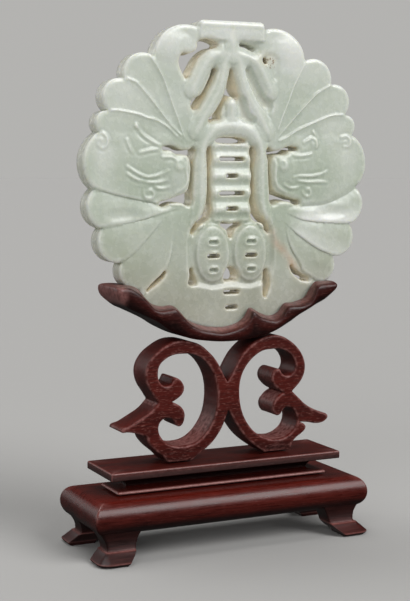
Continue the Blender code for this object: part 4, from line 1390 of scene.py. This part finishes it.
def cradle_mesh(box, plaque_box):
    """The trough: a wavy lip that slopes to the front, a full belly, and the plaque's groove."""
    middle, half_x = middle_and_half(box, 0)
    centre_y, half_y = middle_and_half(box, 1)
    groove = middle_and_half(plaque_box, 1)[1] + GROOVE_PLAY
    plaque_u = middle_and_half(plaque_box, 0)[0]
    plaque_v = plaque_box[1].z / MM - PLAQUE_TOP_V
    inner = np.linspace(-half_x + 0.75, half_x - 0.75, CRADLE_STATIONS)
    stations = np.concatenate([-half_x + END_PLACES, inner, half_x - END_PLACES[::-1]])
    shrink = np.concatenate([END_SIZES, np.ones(len(inner)), END_SIZES[::-1]])
    lip = heights_along(CRADLE_LIP, stations)
    crest = heights_along(CRADLE_CREST, stations)
    belly = heights_along(mirrored_rows(CRADLE_BELLY), stations)
    floor = plaque_underside(stations + middle - plaque_u) + plaque_v - 0.03
    rings = []
    for place, z_lip, z_crest, z_belly, z_floor, size in zip(stations, lip, crest, belly, floor, shrink):
        ring = cradle_section(groove, half_y, z_lip, z_crest, z_belly, z_floor)
        mid = (z_lip + z_belly) / 2.0
        rings.append([
            ((middle + place) * MM, (centre_y - y * (0.5 + size / 2.0)) * MM, (mid + (z - mid) * size) * MM)
            for y, z in ring
        ])
    mesh = lofted_mesh("cradle_carving", rings, 40.0)
    places = np.array([vertex.co[:] for vertex in mesh.vertices]) / MM
    out = np.abs(places[:, 1] - centre_y)
    lift = places[:, 2] - np.interp(places[:, 0] - middle, stations, crest)
    # Painted highlights with some wear along the sloping lip and on the left tip, where the light catches
    # them.
    wear = 0.6 * smooth_step((4.9 - out) / 0.6) * smooth_step((lift + 0.4) / 0.5) * (out > groove)
    wear *= 0.6 + 0.4 * bell(places[:, 0] - middle + 2.0, 9.0)
    tip = smooth_step((-half_x + 2.6 - (places[:, 0] - middle)) / 1.6)
    # Painted shade on the belly below the crest, kept off the tip.
    dull = 0.6 * smooth_step((-1.2 - lift) / 2.0)
    store_marks(mesh, {"wear": np.maximum(wear, 0.55 * tip), "dull": dull * (1.0 - tip)})
    return mesh


def mirrored_rows(table):
    """A half table that starts at zero, with its mirror image before it."""
    return [(-place, value) for place, value in reversed(table[1:])] + list(table)


def lofted_mesh(name, rings, sharp_degrees):
    """Join rings of equally many points into one closed mesh, its ends capped."""
    work = bmesh.new()
    rows = [[work.verts.new(point) for point in ring] for ring in rings]
    count = len(rows[0])
    for lower, upper in zip(rows, rows[1:]):
        for index in range(count):
            after = (index + 1) % count
            work.faces.new((lower[index], lower[after], upper[after], upper[index]))
    work.faces.new(rows[0])
    work.faces.new(rows[-1])
    bmesh.ops.remove_doubles(work, verts=work.verts, dist=0.004 * MM)
    bmesh.ops.dissolve_degenerate(work, edges=work.edges, dist=0.003 * MM)
    bmesh.ops.triangulate(work, faces=[face for face in work.faces if len(face.verts) > 4])
    bmesh.ops.recalc_face_normals(work, faces=work.faces)
    mesh = mesh_from(work, name)
    shade(mesh, sharp_degrees)
    return mesh


def scroll_mesh(box, settings):
    """Two C-scrolls sawn from one board, back to back, their edges eased."""
    low, high = box
    rounding = settings.edge_rounding / MM
    spacing = settings.board_spacing / MM
    loops = turned_loops([
        (even_loop(smooth_loop(points, corners), spacing), "rim") for points, corners in (
            (SCROLL_OUTSIDE, SCROLL_OUTSIDE_CORNERS),
            (SCROLL_INSIDE_RIGHT, SCROLL_INSIDE_RIGHT_CORNERS),
            (SCROLL_INSIDE_LEFT, SCROLL_INSIDE_LEFT_CORNERS),
        )
    ])
    first, last, top = PARED_FOOT

    def front(points, distance, names):
        depth = rounded_fall(distance, rounding, rounding) + 0.03 * slow_noise(points, 0.5, 4.4)
        inside = smooth_step((points[:, 0] - first) / 0.3) * smooth_step((last - points[:, 0]) / 0.3)
        pared = 0.7 * inside * smooth_step((top - points[:, 1]) / 1.2)
        return low.y / MM + np.maximum(depth, 0.0) + pared

    def back(points, distance, names):
        return high.y / MM - rounded_fall(distance, rounding, rounding)

    centre = (middle_and_half(box, 0)[0], 0.0)
    mesh, notes = pierced_board("scroll_support_carving", loops, loops, spacing, (), (front, back), centre)
    u, _, v = notes["place"].T
    pared = ((u > first) & (u < last) & (v < top)) * (notes["through"] < 0.05)
    handled = np.where(notes["through"] < 0.9, 1.0, 0.3)
    # Edges that stand out get pale marks: painted highlights with some wear, fewer on the back.
    wear = 0.45 * smooth_step((notes["proud"] - 0.08) / 0.25) * handled
    # Painted light on the sawn walls of the lower loops that face up.
    upward = np.array([vertex.normal.z for vertex in mesh.vertices])
    lit_sawn_floor = 0.75 * (notes["through"] > 0.04) * smooth_step((upward - 0.1) / 0.6) * (v < 28.0)
    wear = np.maximum(wear, lit_sawn_floor * (np.abs(u) < 15.0))
    store_marks(mesh, {"wear": np.clip(wear + 0.3 * pared, 0.0, 1.0), "dull": np.zeros(len(u))})
    return mesh


def geometry_tree(name, inputs, result):
    """A geometry node tree with named inputs, and the sockets that hand them in."""
    tree = bpy.data.node_groups.new(name, "GeometryNodeTree")
    for label, kind in inputs.items():
        tree.interface.new_socket(label, in_out="INPUT", socket_type="NodeSocket" + kind)
    tree.interface.new_socket(result, in_out="OUTPUT", socket_type="NodeSocketGeometry")
    return tree, add_node(tree, "NodeGroupInput").outputs


def close_tree(tree, shape, material):
    """Make a tree's shape real, give it its material and hand it out."""
    real = add_node(tree, "GeometryNodeRealizeInstances", shape)
    finished = add_node(
        tree, "GeometryNodeSetMaterial", named={"Geometry": real, "Material": material}
    )
    add_node(tree, "NodeGroupOutput", finished)


def moulding_tree():
    """Geometry nodes that sweep a profile round a rectangle with mitred, slightly eased corners.

    The profile comes in as a row of vertices: X is the inset and Z the height.
    """
    tree, given = geometry_tree("mitred_moulding", {
        "Profile": "Geometry", "Half Length": "Float", "Half Depth": "Float",
        "Corner Rounding": "Float", "Corner Steps": "Int", "Material": "Material",
    }, "Moulding")
    size = add_node(tree, "GeometryNodeAttributeDomainSize", named={"Geometry": given["Profile"]})
    place = add_node(tree, "GeometryNodeInputPosition")
    sample = add_node(
        tree, "GeometryNodeSampleIndex", named={"Geometry": given["Profile"], "Value": place},
        data_type="FLOAT_VECTOR", domain="POINT",
    )
    profile = add_node(tree, "ShaderNodeSeparateXYZ", sample).outputs
    value = {
        "steps": given["Corner Steps"], "rounding": given["Corner Rounding"],
        "length": given["Half Length"], "depth": given["Half Depth"], "inset": profile["X"],
        "number": add_node(tree, "GeometryNodeInputIndex"),
    }
    quarter = math.pi / 2.0
    # A grid's points, by number: the row is the profile's point, the column the place around.
    sums = [
        ("per_corner", "ADD", "steps", 1.0),
        ("around", "MULTIPLY_ADD", "per_corner", 4.0, 1.0),
        ("row_share", "DIVIDE", "number", "around"),
        ("row", "FLOOR", "row_share"),
        ("column", "MODULO", "number", "around"),
        ("corner_share", "DIVIDE", "column", "per_corner"),
        ("corner", "FLOOR", "corner_share"),
        ("step", "MODULO", "column", "per_corner"),
        ("turn", "DIVIDE", "step", "steps"),
        ("quarters", "ADD", "corner", "turn"),
        ("angle", "MULTIPLY", "quarters", quarter),
        ("middle_angle", "MULTIPLY_ADD", "corner", quarter, quarter / 2.0),
    ]
    for result, reach, wave in (("x", "length", "COSINE"), ("y", "depth", "SINE")):
        sums += [
            ("reach", "SUBTRACT", reach, "inset"),
            ("easing", "MINIMUM", "rounding", "reach"),
            ("straight", "SUBTRACT", "reach", "easing"),
            ("heading", wave, "middle_angle"),
            ("sign", "SIGN", "heading"),
            ("centre", "MULTIPLY", "sign", "straight"),
            ("bend", wave, "angle"),
            (result, "MULTIPLY_ADD", "bend", "easing", "centre"),
        ]
    for label, operation, *terms in sums:
        terms = [value.get(term, term) for term in terms]
        value[label] = add_node(tree, "ShaderNodeMath", *terms, operation=operation)
    tree.links.new(value["row"].outputs[0], sample.inputs["Index"])
    grid = add_node(
        tree, "GeometryNodeMeshGrid",
        named={"Vertices X": size.outputs["Point Count"], "Vertices Y": value["around"]},
    )
    target = add_node(tree, "ShaderNodeCombineXYZ", value["x"], value["y"], profile["Z"])
    shaped = add_node(
        tree, "GeometryNodeSetPosition", named={"Geometry": grid.outputs["Mesh"], "Position": target}
    )
    closed = add_node(
        tree, "GeometryNodeMergeByDistance", named={"Geometry": shaped, "Distance": 0.000002}
    )
    close_tree(tree, closed, given["Material"])
    return tree


def grown_mesh(name, source, tree, values):
    """Run a geometry node tree on an object, and return the result as a plain mesh."""
    modifier = source.modifiers.new(name, "NODES")
    modifier.node_group = tree
    sockets = {
        item.name: item.identifier for item in tree.interface.items_tree
        if item.item_type == "SOCKET" and item.in_out == "INPUT"
    }
    for label, value in values.items():
        modifier[sockets[label]] = value
    mesh = taken_mesh(source)
    mesh.name = name
    return mesh


CORNER_STEPS = 6
# Mouldings get edges at these insets, which keep the pale marks of their mitred corners, painted highlights
# with some wear, narrow.
CORNER_MARK_EDGES = (1.0, 3.6)


def moulding_mesh(name, profile, box, settings, material):
    """A moulding with that profile round a CAD node's box."""
    low, high = box
    half_length = (high.x - low.x) / 2.0
    half_depth = (high.y - low.y) / 2.0
    points = [(half_depth, 0.0, profile[0][1] * MM)]
    points += [(inset * MM, 0.0, height * MM) for inset, height in profile]
    points += [(half_depth, 0.0, profile[-1][1] * MM)]
    line = bpy.data.meshes.new(name + "_profile")
    line.from_pydata(points, [(index, index + 1) for index in range(len(points) - 1)], [])
    source = link_object(name + "_profile", line)
    mesh = grown_mesh(name, source, moulding_tree(), {
        "Half Length": half_length, "Half Depth": half_depth,
        "Corner Rounding": settings.corner_rounding, "Corner Steps": CORNER_STEPS, "Material": material,
    })
    work = bmesh.new()
    work.from_mesh(mesh)
    bmesh.ops.dissolve_degenerate(work, edges=work.edges, dist=0.002 * MM)
    for half, normal in ((half_length, (1.0, 0.0, 0.0)), (half_depth, (0.0, 1.0, 0.0))):
        for inset in CORNER_MARK_EDGES:
            for side in (-1.0, 1.0):
                whole = [*work.verts, *work.edges, *work.faces]
                cut_at = Vector(normal) * side * (half - inset * MM)
                bmesh.ops.bisect_plane(work, geom=whole, dist=1e-7, plane_co=cut_at, plane_no=normal)
    bmesh.ops.recalc_face_normals(work, faces=work.faces)
    bmesh.ops.translate(
        work, verts=work.verts,
        vec=((low.x + high.x) / 2.0, (low.y + high.y) / 2.0, low.z),
    )
    work.to_mesh(mesh)
    work.free()
    return mesh


def moulding_marks(mesh, box, arrises, shade_band, foot_lines=()):
    """Mark mitred corners, arrises and level lines of the feet pale, as painted highlights with some wear,
    and a band of heights dark, as painted shade with dust.
    """
    low, high = box
    places = np.array([vertex.co[:] for vertex in mesh.vertices])
    inset_x = np.minimum(places[:, 0] - low.x, high.x - places[:, 0]) / MM
    inset_y = np.minimum(places[:, 1] - low.y, high.y - places[:, 1]) / MM
    inset = np.minimum(inset_x, inset_y)
    height = (places[:, 2] - low.z) / MM
    upper = smooth_step(height / ((high.z - low.z) / MM) * 2.0 - 0.7)
    # Pale marks on the upper mitres and the arrises: painted highlights with some wear.
    wear = 0.45 * bell(inset_x - inset_y, 0.3) * (inset < 2.4) * upper
    for arris_inset, arris_height, width, strength in arrises:
        gap = np.hypot(inset - arris_inset, height - arris_height)
        wear = np.maximum(wear, strength * bell(gap, width))
    level = places[:, 2] / MM
    # On the feet, only level lines of painted highlight.
    if foot_lines:
        wear = np.where(level < 4.0, 0.0, wear)
        for line, strength in foot_lines:
            wear = np.maximum(wear, strength * bell(level - line, 0.07))
    # Painted shade over a band of heights and on the feet's pads, with dust dulling the gloss.
    first, last, darkest = shade_band
    along = (level - first) / (last - first)
    dull = darkest * smooth_step(along * 5.0) * smooth_step((1.0 - along) * 5.0)
    dull = np.where(along < 0.0, 0.45, dull) if foot_lines else dull
    store_marks(mesh, {"wear": np.clip(wear, 0.0, 1.0), "dull": np.where(wear > 0.3, 0.0, dull)})


def base_profile(height):
    """The base slab's pillow edge, from its underside to its top."""
    rows = []
    for step in range(BASE_PROFILE_STEPS + 1):
        angle = math.pi * (step / BASE_PROFILE_STEPS - 0.5)
        inset = SLAB_SWELLING * (1.0 - math.cos(angle) ** 0.95)
        rows.append((inset, height / 2.0 + height / 2.0 * math.sin(angle)))
    return rows


def foot_mesh():
    """One flared foot, at the right-hand back corner of a base centred on the origin."""
    rings = []
    for height, low_x, high_x, low_y, high_y, radius in FOOT_SECTIONS:
        ring = []
        for quarter, (x, y, reach) in enumerate((
            (high_x - radius, high_y - radius, radius),
            (low_x + FOOT_EASING, high_y - FOOT_EASING, FOOT_EASING),
            (low_x + FOOT_EASING, low_y + FOOT_EASING, FOOT_EASING),
            (high_x - FOOT_EASING, low_y + FOOT_EASING, FOOT_EASING),
        )):
            for step in range(9):
                angle = math.pi / 2.0 * (quarter + step / 8.0)
                ring.append((
                    (x + reach * math.cos(angle)) * MM, (y + reach * math.sin(angle)) * MM, height * MM,
                ))
        rings.append(ring)
    return lofted_mesh("foot", rings, 40.0)


def four_corner_tree():
    """Geometry nodes that set a foot at all four corners, turned as in a mirror."""
    tree, given = geometry_tree(
        "four_corners", {"Foot": "Geometry", "Centre": "Vector", "Material": "Material"}, "Feet"
    )
    shape = given["Foot"]
    for mirror in ((-1.0, 1.0, 1.0), (1.0, -1.0, 1.0)):
        turned = add_node(
            tree, "GeometryNodeTransform", named={"Geometry": shape, "Scale": mirror}
        )
        outward = add_node(tree, "GeometryNodeFlipFaces", turned)
        both = add_node(tree, "GeometryNodeJoinGeometry", shape)
        tree.links.new(outward.outputs[0], both.inputs[0])
        shape = both.outputs[0]
    placed = add_node(
        tree, "GeometryNodeTransform", named={"Geometry": shape, "Translation": given["Centre"]}
    )
    close_tree(tree, placed, given["Material"])
    return tree


def base_mesh(box, settings, material):
    """The pillow-edged slab and its four flared feet, as one mesh."""
    low, high = box
    middle_x = (low.x + high.x) / 2.0
    slab_low = Vector((middle_x - SLAB_HALF_LENGTH * MM, -SLAB_HALF_DEPTH * MM, SLAB_UNDERSIDE * MM))
    slab_high = Vector((middle_x + SLAB_HALF_LENGTH * MM, SLAB_HALF_DEPTH * MM, high.z))
    profile = base_profile((slab_high.z - slab_low.z) / MM)
    slab = moulding_mesh("base_slab", profile, (slab_low, slab_high), settings, material)
    feet = grown_mesh("feet", link_object("foot", foot_mesh()), four_corner_tree(), {
        "Centre": (middle_x, 0.0, 0.0), "Material": material,
    })
    work = bmesh.new()
    work.from_mesh(slab)
    work.from_mesh(feet)
    mesh = mesh_from(work, "base_with_feet")
    moulding_marks(mesh, (slab_low, slab_high), (), BASE_SHADE_AND_DUST, FOOT_LINES)
    shade(mesh, 40.0)
    return mesh


def plinth_mesh(box, settings, material):
    """The stepped plinth: a thin slab over a deep cove on a narrow ledge."""
    mesh = moulding_mesh("stepped_plinth_moulding", PLINTH_PROFILE, box, settings, material)
    moulding_marks(mesh, box, PLINTH_ARRISES, PLINTH_SHADE_AND_DUST)
    shade(mesh, 35.0)
    return mesh


def finished_piece(name, mesh, node, material):
    """Show a mesh with its material and let it stand for its CAD node."""
    piece = link_object(name, mesh)
    mesh.materials.clear()
    mesh.materials.append(material)
    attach(piece, "root")
    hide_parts(node)
    return piece


# ---------------------------------------------------------------- the studio
FLOOR_RADIUS = 8.0
# The surroundings are as pale as the floor where they are seen, and dim where they light.
SEEN_STRENGTH = 0.585
LIGHTING_STRENGTH = 0.07
# Broad soft lights: the direction each comes from, its width in degrees and its strength's setting.
SOFTBOXES = (
    ("front_right_softbox", (0.44, -0.66, 0.6), 40.0, "key_strength"),
    ("front_left_softbox", (-0.6, -0.68, 0.42), 40.0, "fill_strength"),
    ("back_left_softbox", (-0.62, 0.72, 0.3), 40.0, "rim_strength"),
    ("overhead_softbox", (-0.1, 0.2, 0.97), 42.0, "overhead_strength"),
)
LAMP_DISTANCE = 0.5
CAMERA_PLACE = (-113.143 * MM, -230.672 * MM, 71.895 * MM)
CAMERA_TURN = (math.radians(90.0 - 5.708), 0.0, math.radians(-25.291))
SENSOR_WIDTH = 36.0
FOCAL_LENGTH = 80.36


def paper_floor(settings):
    """A wide sheet of matt background paper: no gloss at all, so it stays one soft pale tone."""
    work = bmesh.new()
    bmesh.ops.create_circle(work, cap_ends=True, segments=96, radius=FLOOR_RADIUS)
    mesh = mesh_from(work, "studio_floor")
    floor = link_object("studio_floor", mesh)
    material, tree = blank_material("matt_paper")
    shader = add_node(tree, "ShaderNodeBsdfPrincipled", named={
        "Base Color": tuple(settings.floor), "Roughness": 1.0, "Specular IOR Level": 0.0,
    })
    add_node(tree, "ShaderNodeOutputMaterial", shader)
    mesh.materials.append(material)
    # The dark polished wood would turn grey if it mirrored the pale floor.
    floor.visible_glossy = False
    return floor


def studio_air(settings):
    """Plain pale surroundings that light the stand only dimly."""
    world = bpy.data.worlds.new("studio_air")
    world.use_nodes = True
    tree = world.node_tree
    tree.nodes.clear()
    seen, dim = (
        add_node(tree, "ShaderNodeBackground", tuple(settings.air), strength)
        for strength in (SEEN_STRENGTH, LIGHTING_STRENGTH)
    )
    camera_ray = add_node(tree, "ShaderNodeLightPath").outputs["Is Camera Ray"]
    mixed = add_node(tree, "ShaderNodeMixShader", camera_ray, dim, seen)
    add_node(tree, "ShaderNodeOutputWorld", mixed)
    return world


def hang_softboxes(settings):
    """Four broad lights, each turned to the stand."""
    for name, direction, width, strength in SOFTBOXES:
        light = bpy.data.lights.new(name, "SUN")
        light.angle = math.radians(width)
        light.energy = getattr(settings, strength)
        lamp = link_object(name, light)
        lamp.location = Vector(direction) * LAMP_DISTANCE
        lamp.rotation_euler = Vector(direction).to_track_quat("Z", "Y").to_euler()


def studio_camera():
    """A long lens, a little above the plaque and to its left."""
    lens = bpy.data.cameras.new("studio_camera")
    lens.sensor_fit = "AUTO"
    lens.sensor_width = SENSOR_WIDTH
    lens.lens = FOCAL_LENGTH
    lens.clip_start = 0.01
    lens.clip_end = 20.0
    camera = link_object("studio_camera", lens)
    camera.location = CAMERA_PLACE
    camera.rotation_euler = CAMERA_TURN
    return camera


# ---------------------------------------------------------------- operators
class JADESTAND_OT_carve_plaque(bpy.types.Operator):
    """Carve the pierced jade plaque"""

    bl_idname = "jade_stand.carve_plaque"
    bl_label = "Carve Plaque"

    def execute(self, context):
        settings = context.scene.jade_settings
        mesh = jade_plaque_mesh(settings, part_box("jade_plaque"))
        piece = finished_piece("jade_plaque_carving", mesh, "jade_plaque", nephrite_material(settings))
        return {"FINISHED"}


class JADESTAND_OT_carve_cradle(bpy.types.Operator):
    """Carve the wavy trough that holds the plaque"""

    bl_idname = "jade_stand.carve_cradle"
    bl_label = "Carve Cradle"

    def execute(self, context):
        material = rosewood_material("cradle_rosewood", context.scene.stand_settings)
        mesh = cradle_mesh(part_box("cradle"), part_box("jade_plaque"))
        piece = finished_piece("cradle_carving", mesh, "cradle", material)
        return {"FINISHED"}


class JADESTAND_OT_saw_scrolls(bpy.types.Operator):
    """Saw the two C-scrolls that carry the cradle"""

    bl_idname = "jade_stand.saw_scrolls"
    bl_label = "Saw Scrolls"

    def execute(self, context):
        settings = context.scene.stand_settings
        material = rosewood_material("scroll_rosewood", settings)
        mesh = scroll_mesh(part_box("scroll_support"), settings)
        piece = finished_piece("scroll_support_carving", mesh, "scroll_support", material)
        return {"FINISHED"}


class JADESTAND_OT_shape_plinth(bpy.types.Operator):
    """Shape the stepped plinth under the scrolls"""

    bl_idname = "jade_stand.shape_plinth"
    bl_label = "Shape Plinth"

    def execute(self, context):
        settings = context.scene.stand_settings
        material = rosewood_material("plinth_rosewood", settings)
        mesh = plinth_mesh(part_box("stepped_plinth"), settings, material)
        piece = finished_piece("stepped_plinth_moulding", mesh, "stepped_plinth", material)
        return {"FINISHED"}


class JADESTAND_OT_shape_base(bpy.types.Operator):
    """Shape the pillow-edged base and its four flared feet"""

    bl_idname = "jade_stand.shape_base"
    bl_label = "Shape Base"

    def execute(self, context):
        settings = context.scene.stand_settings
        material = rosewood_material("base_rosewood", settings)
        mesh = base_mesh(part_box("base"), settings, material)
        piece = finished_piece("base_with_feet", mesh, "base", material)
        return {"FINISHED"}


class JADESTAND_OT_set_stage(bpy.types.Operator):
    """Set the pale floor, the soft lights and the camera"""

    bl_idname = "jade_stand.set_stage"
    bl_label = "Set Stage"

    def execute(self, context):
        settings = context.scene.studio_settings
        floor = paper_floor(settings)
        context.scene.world = studio_air(settings)
        context.scene.view_settings.view_transform = "Standard"
        hang_softboxes(settings)
        context.scene.camera = studio_camera()
        return {"FINISHED"}


class JADESTAND_PT_workshop(bpy.types.Panel):
    """Lists the steps and their settings"""

    bl_idname = "JADESTAND_PT_workshop"
    bl_label = "Jade Stand"
    bl_space_type = "VIEW_3D"
    bl_region_type = "UI"
    bl_category = "Jade Stand"

    def draw(self, context):
        layout = self.layout
        for operator in OPERATORS:
            layout.operator(operator.bl_idname)
        for label in SETTINGS:
            group = getattr(context.scene, label)
            box = layout.box()
            for name in group.__annotations__:
                box.prop(group, name)


OPERATORS = (
    JADESTAND_OT_carve_plaque,
    JADESTAND_OT_carve_cradle,
    JADESTAND_OT_saw_scrolls,
    JADESTAND_OT_shape_plinth,
    JADESTAND_OT_shape_base,
    JADESTAND_OT_set_stage,
)
SETTINGS = {
    "jade_settings": JadeSettings, "stand_settings": StandSettings, "studio_settings": StudioSettings,
}
CLASSES = tuple(SETTINGS.values()) + OPERATORS + (JADESTAND_PT_workshop,)


def register():
    """Register the classes and hang their settings on the scene."""
    for item in CLASSES:
        bpy.utils.register_class(item)
    for label, group in SETTINGS.items():
        setattr(bpy.types.Scene, label, PointerProperty(type=group))


def unregister():
    """Take the settings and the classes away again."""
    for label in SETTINGS:
        delattr(bpy.types.Scene, label)
    for item in reversed(CLASSES):
        bpy.utils.unregister_class(item)


def main():
    """Build every piece and the stage."""
    register()
    bpy.ops.jade_stand.carve_plaque()
    bpy.ops.jade_stand.carve_cradle()
    bpy.ops.jade_stand.saw_scrolls()
    bpy.ops.jade_stand.shape_plinth()
    bpy.ops.jade_stand.shape_base()
    bpy.ops.jade_stand.set_stage()


if __name__ == "__main__":
    main()
